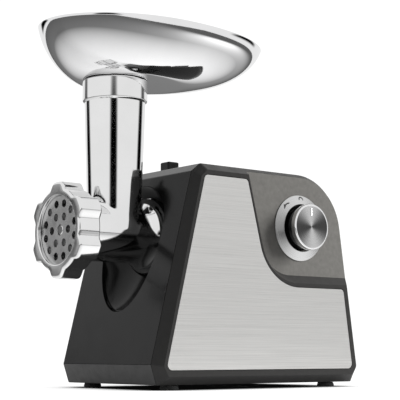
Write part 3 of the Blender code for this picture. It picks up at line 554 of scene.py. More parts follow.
def radial_pattern(made, centre, rings_per_metre):
    """Distance from the dial's axis and the angle about it, for turned faces."""
    coords = made.node("ShaderNodeTexCoord")
    shift = made.node("ShaderNodeVectorMath", operation="SUBTRACT")
    shift.inputs[1].default_value = centre
    split = made.node("ShaderNodeSeparateXYZ")
    made.links.new(coords.outputs["Object"], shift.inputs[0])
    made.links.new(shift.outputs["Vector"], split.inputs["Vector"])
    length = made.node("ShaderNodeVectorMath", operation="LENGTH")
    flat = made.node("ShaderNodeCombineXYZ")
    made.links.new(split.outputs["X"], flat.inputs["X"])
    made.links.new(split.outputs["Z"], flat.inputs["Z"])
    made.links.new(flat.outputs["Vector"], length.inputs[0])
    noise = made.node("ShaderNodeTexNoise", noise_dimensions="1D")
    noise.inputs["Scale"].default_value = rings_per_metre
    noise.inputs["Detail"].default_value = 3.0
    made.links.new(length.outputs["Value"], noise.inputs["W"])
    angle = made.node("ShaderNodeMath", operation="ARCTAN2")
    made.links.new(split.outputs["X"], angle.inputs[0])
    made.links.new(split.outputs["Z"], angle.inputs[1])
    return noise.outputs["Fac"], angle.outputs["Value"]


def painted_sector_highlight(made, angle, offset_turn, power=2.0):
    """Two opposite bright sectors: a painted highlight, set where light would lie on a face turned in fine
    circles.
    """
    moved = made.node("ShaderNodeMath", operation="ADD")
    moved.inputs[1].default_value = offset_turn
    wave = made.node("ShaderNodeMath", operation="COSINE")
    square = made.node("ShaderNodeMath", operation="ABSOLUTE")
    sharp = made.node("ShaderNodeMath", operation="POWER")
    sharp.inputs[1].default_value = power
    made.links.new(angle, moved.inputs[0])
    made.links.new(moved.outputs["Value"], wave.inputs[0])
    made.links.new(wave.outputs["Value"], square.inputs[0])
    made.links.new(square.outputs["Value"], sharp.inputs[0])
    return sharp.outputs["Value"]


def turned_metal(name, dark, light, roughness, power):
    """Metal turned round the dial's axis: fine rings, with a painted highlight lying in two sectors of the
    base colour.
    """
    made = Finish(name, light, roughness, 1.0)
    made.set("Anisotropic", 0.6)
    centre = DATUM + Vector((DIAL_X, 0, DIAL_Z)) * MM
    rings, angle = radial_pattern(made, centre, 2500)
    shine = painted_sector_highlight(made, angle, math.radians(8), power)
    # Base colour from dark to light: the real fine turned rings plus the painted highlight sectors.
    ramp = made.node("ShaderNodeValToRGB")
    ramp.color_ramp.elements[0].color = (*dark, 1)
    ramp.color_ramp.elements[1].color = (*light, 1)
    blend = made.node("ShaderNodeMath", operation="MULTIPLY_ADD")
    blend.inputs[1].default_value = 0.2
    made.links.new(rings, blend.inputs[0])
    made.links.new(shine, blend.inputs[2])
    less = made.node("ShaderNodeMath", operation="SUBTRACT")
    less.inputs[1].default_value = 0.1
    made.links.new(blend.outputs["Value"], less.inputs[0])
    made.links.new(less.outputs["Value"], ramp.inputs["Fac"])
    made.links.new(ramp.outputs["Color"], made.shader.inputs["Base Color"])
    made.vary_roughness(rings, 0.06)
    made.bump(rings, 0.1, 0.00005)
    return made.material


def machined_steel(name, colour, roughness):
    made = Finish(name, colour, roughness, 1.0)
    marks = made.noise(9, 4, (40, 3, 3), 0.6)
    made.vary_roughness(marks, 0.08)
    made.vary_colour(made.noise(120, 3), 0.9, 1.08)
    made.bump(marks, 0.1, 0.0001)
    return made.material


def nylon():
    made = Finish("natural_nylon", (0.78, 0.76, 0.66), 0.45)
    made.set("Subsurface Weight", 0.1)
    cloud = made.noise(150, 3)
    made.vary_roughness(cloud, 0.06)
    made.vary_colour(cloud, 0.94, 1.04)
    made.bump(made.noise(700, 2), 0.08, 0.0001)
    return made.material


def cast_grey():
    made = Finish("die_cast_alloy", (0.34, 0.35, 0.36), 0.5, 0.9)
    grain = made.noise(500, 4)
    made.vary_roughness(grain, 0.1)
    made.vary_colour(grain, 0.85, 1.1)
    made.bump(grain, 0.3, 0.0002)
    return made.material


def laminations():
    """Stacked sheets seen edge on: thin dark lines across X."""
    made = Finish("steel_laminations", (0.3, 0.31, 0.33), 0.5, 0.9)
    sheets = made.noise(1, 1, (1800, 1, 1))
    made.vary_roughness(sheets, 0.1)
    made.vary_colour(sheets, 0.6, 1.15)
    made.bump(sheets, 0.4, 0.0002)
    return made.material


def copper():
    made = Finish("enamelled_copper", (0.62, 0.25, 0.1), 0.32, 1.0)
    wires = made.noise(3, 2, (60, 700, 700))
    made.vary_roughness(wires, 0.08)
    made.vary_colour(wires, 0.65, 1.15)
    made.bump(wires, 0.5, 0.0003)
    return made.material


def bronze():
    made = Finish("sintered_bronze", (0.68, 0.5, 0.22), 0.4, 1.0)
    pores = made.noise(1800, 3)
    made.vary_roughness(pores, 0.1)
    made.vary_colour(pores, 0.82, 1.08)
    made.bump(pores, 0.25, 0.0001)
    return made.material


def printed(name, colour):
    """Printed marks, a little uneven where the ink is thin."""
    made = Finish(name, colour, 0.5)
    ink = made.noise(900, 3)
    made.vary_colour(ink, 0.9, 1.05)
    made.vary_roughness(ink, 0.06)
    return made.material


# ---------------------------------------------------------------- housing


def scoop_rings(grow, shares, back_x, sides=96):
    """Recess in the front face round the head: a deep oval at the face, a circle at the socket."""
    rings = []
    for share in shares:
        ring = []
        for k in range(sides):
            turn = 2 * math.pi * k / sides
            reach = SCOOP_R if math.cos(turn) > 0 else SCOOP_DEEP
            face_y = SCOOP_R * math.sin(turn)
            face_z = SCOOP_Z + reach * math.cos(turn)
            back_r = SOCKET_R + 1.0
            blend = max(share, 0.0) ** 1.5
            y = face_y + (back_r * math.sin(turn) - face_y) * blend
            z = face_z + (AXIS_Z + back_r * math.cos(turn) - face_z) * blend
            x = front_x(face_z) + (back_x - front_x(face_z)) * share
            ring.append((x, y + grow * math.sin(turn), z + grow * math.cos(turn)))
        rings.append(ring)
    return rings


def on_gland_axis(shape):
    """Moves a shape turned round X onto the cord inlet, square to the sloping rear wall."""
    tilt = Matrix.Rotation(-math.atan(REAR_LEAN), 3, "Y")
    bmesh.ops.rotate(shape, cent=(0, 0, 0), matrix=tilt, verts=shape.verts)
    bmesh.ops.translate(shape, vec=(rear_x(48), 30, 48), verts=shape.verts)
    return shape


def make_main_housing(finish):
    reach = SPLIT_Y - GAP
    outline = rounded(shell_corners(REAR_FOOT[1] + GAP), 16)
    housing = to_object("housing_shell", prism(outline, "y", -reach, reach), finish)
    inner = rounded(offset(shell_corners(REAR_FOOT[1] - 12), WALL), 12)
    cut(housing, prism(inner, "y", -reach - 9, reach + 9))
    outer_shares = (0.1, 0.2, 0.35, 0.5, 0.65, 0.8, 0.9, 1.0)
    add(housing, rings_to_mesh(scoop_rings(WALL, outer_shares, SCOOP_BACK_X)))
    inner_shares = (-0.35, 0.0, 0.06, 0.12, 0.2, 0.3, 0.4, 0.5, 0.6, 0.7, 0.8, 0.9, 1.0)
    inner_scoop = scoop_rings(0.0, inner_shares, SCOOP_BACK_X)
    inner_scoop.append([(-58.0, y, z) for _, y, z in inner_scoop[-1]])
    cut(housing, rings_to_mesh(inner_scoop))
    cut(housing, prism(button_outline(0.6), "z", 190, 210))
    cut(housing, on_gland_axis(spindle([(6.2, -12), (6.2, 12)], "x", 48)))
    for k in range(7):
        y = (k - 3) * 9.0
        corners = [(y - 1.5, 84, 1.4), (y - 1.5, 122, 1.4), (y + 1.5, 122, 1.4), (y + 1.5, 84, 1.4)]
        cut(housing, prism(rounded(corners, 4), "x", 100, 150))
    soften(housing, 0.7)
    stand_for(housing, "housing", "main_housing")


def make_base_pan(finish):
    reach = SPLIT_Y - GAP
    corners = [(PAN_FRONT_X, UNDERSIDE, 1.5), (*FRONT_FOOT, 0), (*REAR_FOOT, 0), (PAN_REAR_X, UNDERSIDE, 1.5)]
    pan = to_object("base_tray", prism(rounded(corners), "y", -reach, reach), finish)
    room = [(PAN_FRONT_X + 3.2, UNDERSIDE + WALL), (-112, 27), (128.6, 27),
            (PAN_REAR_X - 3.2, UNDERSIDE + WALL)]
    cut(pan, prism(room, "y", -reach + WALL, reach - WALL))
    for k in range(4):
        low, high = node_box(f"foot_screw_{k + 1}")
        x, y = (low.x + high.x) / 2, (low.y + high.y) / 2
        add(pan, spindle([(5, UNDERSIDE + 1), (4.5, 16)], "z", 40, x, y))
        cut(pan, spindle([(1.8, 0), (1.8, 14.6)], "z", 24, x, y))
    for k in range(5):
        x = 20 + k * 9.0
        vent = rounded([(x - 1.8, -26, 1.7), (x - 1.8, 26, 1.7), (x + 1.8, 26, 1.7), (x + 1.8, -26, 1.7)], 4)
        cut(pan, prism(vent, "z", 0, 12))
    soften(pan, 0.5)
    stand_for(pan, "housing", "base_pan")


def cover_rings(inward, root_y, face_y, steps):
    """Side cover body, or its hollow: the housing outline at root_y and the face outline at face_y."""
    root = rounded(offset(side_root_corners(), inward) if inward else side_root_corners(), steps)
    face = rounded(offset(side_face_corners(), inward) if inward else side_face_corners(), steps)
    rings = [[(x, -SPLIT_Y, z) for x, z in root], [(x, -face_y, z) for x, z in face]]
    if root_y < SPLIT_Y:
        rings.insert(0, [(x, -root_y, z) for x, z in root])
    return rings


def turned_over(rings, side):
    return [[(x, y * side, z) for x, y, z in ring] for ring in rings]


def paint_recess_light(cover, finish):
    """The faces of the dial recess, which lies behind the cover's outer face and clear of its rim, get the
    lighter grey plastic: painted light for the key light falling on the recess floor.
    """
    cover.data.materials.append(finish)
    floor_y = DATUM.y - (FACE_Y - INSET_DEPTH) * MM
    for polygon in cover.data.polygons:
        if polygon.normal.y < -0.9 and abs(polygon.center.y - floor_y) < 0.2 * MM:
            polygon.material_index = len(cover.data.materials) - 1


def make_side_cover(name, node, side, panel_outline, has_dial, finish, recess_painted_light_finish):
    steps = 14
    cover = to_object(name, rings_to_mesh(turned_over(cover_rings(0, SPLIT_Y, FACE_Y, steps), side)), finish)
    hollow = turned_over(cover_rings(WALL, SPLIT_Y - 6, FACE_Y - COVER_WALL, steps), side)
    room = to_object("room", rings_to_mesh(hollow))
    if has_dial:
        wall = rounded(inset_corners(0.2, 94.0, 45), 16)
        cut(room, prism(wall, "y", -FACE_Y - 4, DIAL_SEAT_Y + WALL))
    modifier = cover.modifiers.new("room", "BOOLEAN")
    modifier.operation = "DIFFERENCE"
    modifier.solver = "EXACT"
    modifier.object = room
    settle(cover)
    bpy.data.objects.remove(room, do_unlink=True)
    recess = rounded(offset(panel_outline, -0.5), 16)
    low, high = sorted((side * -(FACE_Y - PANEL_THICK - GAP), side * -(FACE_Y + 4)))
    cut(cover, prism(recess, "y", low, high))
    if has_dial:
        floor_y = -(FACE_Y - INSET_DEPTH)
        levels = ((3.8, 104.5, 38, floor_y), (2.6, 97.0, 44, -FACE_Y), (2.1, 94.0, 45, -FACE_Y - 2))
        sunk = []
        for past, z, radius, y in levels:
            sunk.append([(x, y, z) for x, z in rounded(inset_corners(past, z, radius), 20)])
        cut(cover, rings_to_mesh(sunk))
        cut(cover, spindle([(5, -90), (5, -60)], "y", 48, DIAL_X, DIAL_Z))
    soften(cover, 0.8)
    if has_dial:
        paint_recess_light(cover, recess_painted_light_finish)
    stand_for(cover, "housing", node)


def make_panels(finish):
    for name, node, side, corners in (("steel_panel_control", "control_side_panel", 1, panel_corners()),
                                      ("steel_panel_plain", "plain_side_panel", -1, plain_panel_corners())):
        low, high = sorted((side * -(FACE_Y - PANEL_THICK), side * -FACE_Y))
        panel = to_object(name, prism(rounded(corners, 20), "y", low, high), finish)
        soften(panel, 0.25, 2)
        stand_for(panel, "housing", node)


def make_feet(finish):
    for k in range(4):
        low, high = node_box(f"foot_{k + 1}")
        x, y, r = (low.x + high.x) / 2, (low.y + high.y) / 2, (high.x - low.x) / 2
        profile = [(1.9, high.z), (r - 0.8, high.z), (r - 0.4, high.z - 1.2), (r, 1.4), (r - 0.1, 0.6),
                   (r - 0.7, 0), (r - 2.2, 0), (r - 2.5, 0.35), (r - 3.2, 0.35), (r - 3.5, 0), (3.6, 0),
                   (3.6, 2.2), (1.9, 2.2)]
        foot = to_object(f"rubber_foot_{k + 1}", turned(profile, "z", 64, x, y), finish)
        soften(foot, 0.2, 2)
        stand_for(foot, "housing", f"foot_{k + 1}")


def make_cord_inlet(finish):
    profile = [(3.6, -9), (5.9, -9), (5.9, GAP), (9.5, GAP), (9.3, 2.2), (8.6, 3.0), (6.0, 3.6), (5.4, 5.0),
               (5.2, 8.6), (4.8, 9.0), (3.6, 9.0)]
    gland = to_object("cord_inlet_sleeve", on_gland_axis(turned(profile, "x", 64)), finish)
    soften(gland, 0.25, 2)
    stand_for(gland, "housing", "cord_inlet_gland")


def make_head_socket(finish):
    lip_r = BARREL_R + 0.6
    front, rear = SOCKET_LOW.x, SOCKET_HIGH.x
    profile = [(SOCKET_R, front), (SOCKET_R, rear), (lip_r, rear), (lip_r, rear - 4.2), (31.2, rear - 4.2),
               (31.2, front + 2.3), (lip_r, front + 2.3), (lip_r, front)]
    socket = to_object("bayonet_socket", turned(profile, "x", 96, 0, AXIS_Z), finish)
    for k in range(2):
        gate = box((front - 1.5, 22, -6.2), (front + 3.5, 31.4, 6.2))
        turn = Matrix.Rotation(math.radians(135 + 180 * k), 3, "X")
        bmesh.ops.rotate(gate, cent=(0, 0, 0), matrix=turn, verts=gate.verts)
        bmesh.ops.translate(gate, vec=(0, 0, AXIS_Z), verts=gate.verts)
        cut(socket, gate)
    cut(socket, box((-69, -4.6, AXIS_Z + 22), (-63, 4.6, AXIS_Z + 40)))
    soften(socket, 0.3, 2)
    stand_for(socket, "housing", "head_socket")


# ---------------------------------------------------------------- dial and button


def on_cone(turn, share, lift=0.12):
    """Point on the bezel's sloping ring: turn from 12 o'clock, share from its eye to its edge."""
    r = BEZEL_EYE_R + 0.9 + share * (BEZEL_R - BEZEL_EYE_R - 1.4)
    rise = 3.9 - 3.3 * (r - BEZEL_EYE_R) / (BEZEL_R - BEZEL_EYE_R)
    return (DIAL_X + r * math.sin(turn), DIAL_SEAT_Y - rise - lift, DIAL_Z + r * math.cos(turn))


def mark_strip(path, width, name, finish, looped=False):
    """Flat printed stroke on the bezel, along (turn in degrees, share) points."""
    mid_r = (BEZEL_EYE_R + BEZEL_R) / 2
    span = BEZEL_R - BEZEL_EYE_R - 1.4
    flat = [Vector((math.radians(t) * mid_r, s * span)) for t, s in path]
    left, right = [], []
    for i, point in enumerate(flat):
        before = flat[i - 1] if i or looped else point
        after = flat[(i + 1) % len(flat)] if i + 1 < len(flat) or looped else point
        along = (after - before).normalized()
        side = Vector((-along.y, along.x)) * width / 2
        left.append(point + side)
        right.append(point - side)
    shape = bmesh.new()
    rows = []
    for lift in (0.0, 0.16):
        edges = [[on_cone(p.x / mid_r, p.y / span, lift) for p in edge] for edge in (left, right)]
        rows.append([[shape.verts.new(point) for point in edge] for edge in edges])
    count = len(flat)
    for i in range(count if looped else count - 1):
        j = (i + 1) % count
        for a, b in (((0, 0), (0, 1)), ((0, 1), (1, 1)), ((1, 1), (1, 0)), ((1, 0), (0, 0))):
            one, two = rows[a[0]][a[1]], rows[b[0]][b[1]]
            shape.faces.new((one[i], one[j], two[j], two[i]))
    if not looped:
        for i in (0, count - 1):
            shape.faces.new((rows[0][0][i], rows[0][1][i], rows[1][1][i], rows[1][0][i]))
    mark = to_object(name, shape, finish)
    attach(mark, "housing")


MARK_WIDTH = 1.2


def make_dial_marks(finish):
    """Generic signs: an oval for off at the top, a stroke for on, and a bent arrow for reverse."""
    oval = [(1 + 5.0 * math.cos(t), 0.5 + 0.34 * math.sin(t)) for t in [math.tau * k / 24 for k in range(24)]]
    mark_strip(oval, MARK_WIDTH, "mark_off_oval", finish, looped=True)
    mark_strip([(44, 0.16), (44, 0.84)], MARK_WIDTH, "mark_on_stroke", finish)
    sweep = [(-50 + 2.2 * k, 0.5 + 0.16 * math.sin(math.pi * k / 8)) for k in range(9)]
    mark_strip(sweep, MARK_WIDTH, "mark_reverse_arc", finish)
    mark_strip([(-43.5, 0.82), (-50.5, 0.5), (-43.5, 0.2)], MARK_WIDTH, "mark_reverse_tip", finish)


def make_bezel(finish):
    seat = DIAL_SEAT_Y
    ring = [(BEZEL_EYE_R, seat), (BEZEL_R, seat), (BEZEL_R, seat - 0.5), (BEZEL_R - 0.3, seat - 0.7),
            (BEZEL_EYE_R + 0.7, seat - 3.95), (BEZEL_EYE_R + 0.2, seat - 4.0), (BEZEL_EYE_R, seat - 3.8)]
    bezel = to_object("bezel_ring", turned(ring, "y", 128, DIAL_X, DIAL_Z), finish)
    soften(bezel, 0.12, 2)
    stand_for(bezel, "housing", "dial_bezel")


def make_knob_body(finish):
    seat = DIAL_SEAT_Y
    body = [(KNOB_R + 0.5, seat - 0.3), (KNOB_R + 0.5, seat - 1.2), (KNOB_R - 0.6, seat - 2.0),
            (KNOB_R - 0.5, -82), (KNOB_R, CAP_BACK_Y + GAP)]
    knob = to_object("knob_body", spindle(body, "y", 128, DIAL_X, DIAL_Z), finish)
    cut(knob, spindle([(3.5, -60), (3.5, -84)], "y", 32, DIAL_X, DIAL_Z))
    soften(knob, 0.25, 2)
    stand_for(knob, "knob", "control_knob")


def pointer_outline(half_width, low, high, radius, steps):
    """Upright bar above the dial's axis."""
    left, right = DIAL_X - half_width, DIAL_X + half_width
    bottom, top = DIAL_Z + low, DIAL_Z + high
    corners = [(left, bottom, radius), (left, top, radius), (right, top, radius), (right, bottom, radius)]
    return rounded(corners, steps)


def make_knob_cap(rim_finish, face_finish):
    """Turned cap with a bright rim and a groove for the pointer line."""
    face = CAP_FACE_Y
    rim = [(CAP_R - 0.5, CAP_BACK_Y), (CAP_R, CAP_BACK_Y - 0.5), (CAP_R, face + 1.3),
           (CAP_R - 0.35, face + 0.45), (CAP_R - 1.1, face), (CAP_R - 1.9, face), (CAP_R - 2.3, face + 0.35),
           (CAP_R - 12, face + 0.42), (1.0, face + 0.45)]
    cap = to_object("knob_face", spindle(rim, "y", 128, DIAL_X, DIAL_Z), rim_finish)
    cap.data.materials.append(face_finish)
    cut(cap, prism(pointer_outline(1.0, 9.8, 18.2, 0.9, 4), "y", face - 3, face + 0.9))
    soften(cap, 0.12, 2, 28)
    centre = DATUM + Vector((DIAL_X, 0, DIAL_Z)) * MM
    for polygon in cap.data.polygons:
        reach = Vector((polygon.center.x - centre.x, polygon.center.z - centre.z)).length / MM
        if reach < CAP_R - 2.0 and polygon.center.y < DATUM.y + (face + 1.2) * MM:
            polygon.material_index = 1
    stand_for(cap, "knob", "knob_cap")


def make_pointer(finish):
    line = pointer_outline(0.75, 10.1, 17.9, 0.7, 5)
    pointer = to_object("pointer_line", prism(line, "y", CAP_FACE_Y + 0.05, CAP_FACE_Y + 0.7), finish)
    stand_for(pointer, "knob", "knob_pointer")


def make_dial(bezel_finish, body_finish, face_finish, rim_finish, pointer_finish, mark_finish):
    make_bezel(bezel_finish)
    make_dial_marks(mark_finish)
    make_knob_body(body_finish)
    make_knob_cap(rim_finish, face_finish)
    make_pointer(pointer_finish)


def button_outline(grow):
    """The release button is a block with rounded corners. grow moves its sides outwards."""
    half_x, half_y = BUTTON_HALF[0] + grow, BUTTON_HALF[1] + grow
    radius = BUTTON_CORNER_R + grow
    corners = [(BUTTON_X - half_x, -half_y, radius), (BUTTON_X - half_x, half_y, radius),
               (BUTTON_X + half_x, half_y, radius), (BUTTON_X + half_x, -half_y, radius)]
    return rounded(corners, 12)


def stacked(sections):
    """Skin over (outline, z) sections."""
    return rings_to_mesh([[(x, y, z) for x, y in outline] for outline, z in sections])


def make_release(finish):
    foot = HOUSING_TOP + GAP
    rises = ((3.6, 0.0), (3.5, 0.6), (3.1, 1.2), (2.5, 1.6), (2.0, 1.7))
    collar = stacked([(button_outline(grow), foot + rise) for grow, rise in rises])
    surround = to_object("button_ring", collar, finish)
    cut(surround, prism(button_outline(0.5), "z", foot - 1, foot + 3))
    soften(surround, 0.15, 2)
    stand_for(surround, "housing", "button_surround")
    block = stacked([(button_outline(0), 192.5), (button_outline(0), BUTTON_TOP - 1.0)]
                    + [(button_outline(-math.sin(t)), BUTTON_TOP - 1.0 + 0.9 * math.sin(t) ** 0.8)
                       for t in (0.3, 0.7, 1.1)]
                    + [(button_outline(-2.0), BUTTON_TOP), (button_outline(-2.15), BUTTON_TOP - 0.4)])
    button = to_object("push_button", block, finish)
    add(button, spindle([(2.6, 180.0), (2.6, 194.0)], "z", 48, BUTTON_X))
    for side in (-1, 1):
        for k in range(6):
            x = BUTTON_X - 3.75 + 1.5 * k
            near, far = sorted((side * (BUTTON_HALF[1] - 0.3), side * (BUTTON_HALF[1] + 1)))
            cut(button, box((x - 0.3, near, 203.5), (x + 0.3, far, BUTTON_TOP - 1.6)))
    soften(button, 0.15, 2)
    stand_for(button, "release_button", "release_button")


def spring_ring(turn, share, sides):
    """Wire section of the release spring, at an angle about its axis and a share of its height."""
    z = SPRING_LOW + (SPRING_HIGH - SPRING_LOW) * share
    ring = []
    for k in range(sides):
        lean = math.tau * k / sides
        r = SPRING_R + SPRING_WIRE_R * math.cos(lean)
        ring.append((BUTTON_X + r * math.cos(turn), r * math.sin(turn), z + SPRING_WIRE_R * math.sin(lean)))
    return ring


def make_release_spring(finish):
    """Coil round the button's stem, as one fixed mesh; it does not shorten as the button goes down."""
    count = int(SPRING_TURNS * 32)
    rings = [spring_ring(math.tau * k / 32, k / count, 10) for k in range(count + 1)]
    spring = to_object("button_coil_spring", rings_to_mesh(rings), finish)
    spring.data.shade_smooth()
    stand_for(spring, "housing", "release_spring")
    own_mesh(spring)


# ---------------------------------------------------------------- grinding head

FILLET = 3.5  # how far the tube and the barrel melt into each other


def barrel_profile():
    """(radius, x) of the outside of the barrel from its front bell to its spigot."""
    points = [(BELL_R - 0.8, BELL_FRONT_X), (BELL_R, BELL_FRONT_X + 0.8), (BELL_R, BELL_REAR_X - 0.8)]
    for k in range(9):
        turn = math.pi * k / 16
        points.append((BARREL_R + 1.5 + 6.2 * math.cos(turn), BELL_REAR_X + 0.2 + 3.2 * math.sin(turn)))
    for k in range(1, 7):
        turn = math.pi / 2 * k / 6
        points.append((BARREL_R + 1.5 * (1 - math.sin(turn)), BELL_REAR_X + 3.4 + 2.4 * (1 - math.cos(turn))))
    straight = 52
    start, end = BELL_REAR_X + 6.5, -89.0
    for k in range(straight + 1):
        points.append((BARREL_R, start + (end - start) * k / straight))
    flare = 18
    for k in range(1, flare + 1):
        share = k / flare
        rise = (FLANGE_R - BARREL_R) * share ** 2.2
        points.append((BARREL_R + rise, end + (FLANGE_X[0] - end) * share))
    points += [(FLANGE_R, FLANGE_X[0] + 0.6), (FLANGE_R, FLANGE_X[1] - 0.4), (FLANGE_R - 0.4, FLANGE_X[1]),
               (BARREL_R, FLANGE_X[1]), (BARREL_R, SPIGOT_REAR_X)]
    return points


def tube_radius(z):
    """Radius of the feed tube below its collar."""
    return 25.3 + (28.2 - 25.3) * (z - 176) / (261 - 176)


def tube_profile():
    points = []
    low, high, steps = AXIS_Z + 6, COLLAR_Z[0] - 1.2, 84
    for k in range(steps + 1):
        z = low + (high - low) * k / steps
        points.append((tube_radius(z), z))
    points += [(COLLAR_R - 1.2, COLLAR_Z[0] - 0.5), (COLLAR_R - 0.3, COLLAR_Z[0] + 0.1),
               (COLLAR_R, COLLAR_Z[0] + 0.9), (COLLAR_R, COLLAR_Z[0] + 1.3), (COLLAR_R, COLLAR_Z[1] - 1.4),
               (COLLAR_R, COLLAR_Z[1] - 1.0), (COLLAR_R - 0.3, COLLAR_Z[1] - 0.3),
               (COLLAR_R - 1.0, COLLAR_Z[1])]
    return points


def blend_field(x, y, z):
    """Distance to the barrel and the tube melted together, on the datum in millimetres."""
    barrel = math.hypot(y, z - AXIS_Z) - BARREL_R
    tube = math.hypot(x - TUBE_X, y) - tube_radius(z)
    near = max(FILLET - abs(barrel - tube), 0.0) / FILLET
    return min(barrel, tube) - near * near * FILLET / 4


def blend_slope(x, y, z, step=0.01):
    gradient = Vector((blend_field(x + step, y, z) - blend_field(x - step, y, z),
                       blend_field(x, y + step, z) - blend_field(x, y - step, z),
                       blend_field(x, y, z + step) - blend_field(x, y, z - step)))
    return gradient / (2 * step)


def melt_joint(head):
    """Pulls the corner between tube and barrel onto one smooth surface, and shades it from that surface."""
    mesh = head.data
    smooth_normals = {}
    for vertex in mesh.vertices:
        x, y, z = (vertex.co - DATUM) / MM
        if z < AXIS_Z + 2 or z > 215 or x < BELL_REAR_X + 8 or x > -89.5:
            continue
        barrel = math.hypot(y, z - AXIS_Z) - BARREL_R
        tube = math.hypot(x - TUBE_X, y) - tube_radius(z)
        on_skin = min(abs(barrel), abs(tube)) < 0.02 and min(barrel, tube) > -0.05
        if not on_skin or abs(barrel - tube) > FILLET:
            continue
        point = Vector((x, y, z))
        for _ in range(8):
            slope = blend_slope(*point)
            point -= slope * blend_field(*point) / slope.length_squared
        vertex.co = DATUM + point * MM
        smooth_normals[vertex.index] = blend_slope(*point).normalized()
    mesh.update()
    normals = [corner.vector.copy() for corner in mesh.corner_normals]
    for loop in mesh.loops:
        if loop.vertex_index in smooth_normals:
            normals[loop.index] = smooth_normals[loop.vertex_index]
    mesh.normals_split_custom_set(normals)


def make_head(finish):
    head = to_object("head_body", spindle(barrel_profile(), "x", 128, 0, AXIS_Z), finish)
    add(head, spindle(tube_profile(), "z", 128, TUBE_X))
    for side in (-1, 1):
        near, far = sorted((side * 24, side * 30.4))
        add(head, box((-68.8, near, AXIS_Z - 5), (-66.0, far, AXIS_Z + 5)))
    bore = [(PLATE_R + 0.4, BELL_FRONT_X - 5), (PLATE_R + 0.4, PLATE_HIGH.x + GAP),
            (BLADE_ROOM_R, PLATE_HIGH.x + GAP), (BLADE_ROOM_R, -150.5), (BARREL_BORE_R, -149),
            (BARREL_BORE_R, -76.0), (12.6, -76.0),
            (12.6, SPIGOT_REAR_X + 5)]
    cut(head, spindle(bore, "x", 96, 0, AXIS_Z))
    throat = [(21.8, AXIS_Z), (22.2, 176), (24.8, 264), (24.8, COLLAR_Z[1] - 0.8),
              (25.4, COLLAR_Z[1] + 0.2), (25.4, 290)]
    cut(head, spindle(throat, "z", 96, TUBE_X))
    cut(head, box((-162.0, -1.8, AXIS_Z - PLATE_R - 1.0), (-155.0, 1.8, AXIS_Z - 26)))
    cleaned = bmesh.new()
    cleaned.from_mesh(head.data)
    bmesh.ops.triangulate(cleaned, faces=[f for f in cleaned.faces if len(f.verts) > 4])
    cleaned.to_mesh(head.data)
    cleaned.free()
    head.data.shade_smooth()
    head.data.set_sharp_from_angle(angle=math.radians(38))
    melt_joint(head)
    stand_for(head, "head", "head_casting")


def make_auger(finish):
    core_r, flight_r, pitch = 8.0, 21.6, 24.0
    start_x, end_x, stations = -148.0, -80.6, 110
    angles = list(range(-44, 45, 4)) + list(range(52, 316, 12))
    rings = []
    for k in range(stations + 1):
        x = start_x + (end_x - start_x) * k / stations
        twist = math.tau * (x - start_x) / pitch
        taper = min(1.0, 0.25 + k / 18)
        ring = []
        for degrees in angles:
            lobe = min(max((44 - abs(degrees)) / 14, 0.0), 1.0) if abs(degrees) <= 44 else 0.0
            r = core_r + (flight_r - core_r) * lobe * lobe * (3 - 2 * lobe) * taper
            turn = math.radians(degrees) + twist
            ring.append((x, r * math.cos(turn), AXIS_Z + r * math.sin(turn)))
        rings.append(ring)
    auger = to_object("feed_screw", rings_to_mesh(rings), finish)
    add(auger, spindle([(11.2, -84), (11.2, -62.5)], "x", 64, 0, AXIS_Z))
    add(auger, prism([(y, z + AXIS_Z) for y, z in circle(7.7, 6)], "x", -64, -43.5))
    add(auger, box((-158.6, -5, AXIS_Z - 5), (-146, 5, AXIS_Z + 5)))
    add(auger, spindle([(3.6, PLATE_LOW.x + 0.3), (4.4, PLATE_LOW.x + 1.1), (4.4, -157)], "x", 48, 0, AXIS_Z))
    auger.data.shade_smooth()
    auger.data.set_sharp_from_angle(angle=math.radians(40))
    stand_for(auger, "auger", "feed_auger")


def make_plate(finish):
    shape = [(PLATE_R - 0.4, PLATE_LOW.x), (PLATE_R, PLATE_LOW.x + 0.4), (PLATE_R, PLATE_HIGH.x - 0.4),
             (PLATE_R - 0.4, PLATE_HIGH.x)]
    plate = to_object("mincing_plate", spindle(shape, "x", 128, 0, AXIS_Z), finish)
    cut(plate, spindle([(4.9, -170), (4.9, -150)], "x", 48, 0, AXIS_Z))
    for row, (ring_r, count) in enumerate(PLATE_HOLES):
        for k in range(count):
            turn = math.tau * (k + 0.5 * row) / count
            place = (ring_r * math.cos(turn), AXIS_Z + ring_r * math.sin(turn))
            cut(plate, spindle([(PLATE_HOLE_R, -170), (PLATE_HOLE_R, -150)], "x", 40, *place))
    cut(plate, box((-170, -1.7, AXIS_Z - PLATE_R - 3), (-150, 1.7, AXIS_Z - 30.4)))
    soften(plate, 0.3, 2)
    stand_for(plate, "cutting_plate", "cutting_plate")


def nut_reach(degrees):
    """Outer radius of the nut at an angle from the top: six grips that flare out of a round body."""
    lean = abs((degrees + 30) % 60 - 30)
    share = min(max((19 - lean) / 12, 0.0), 1.0)
    return NUT_R + (NUT_LUG_R - NUT_R) * share * share * (3 - 2 * share)


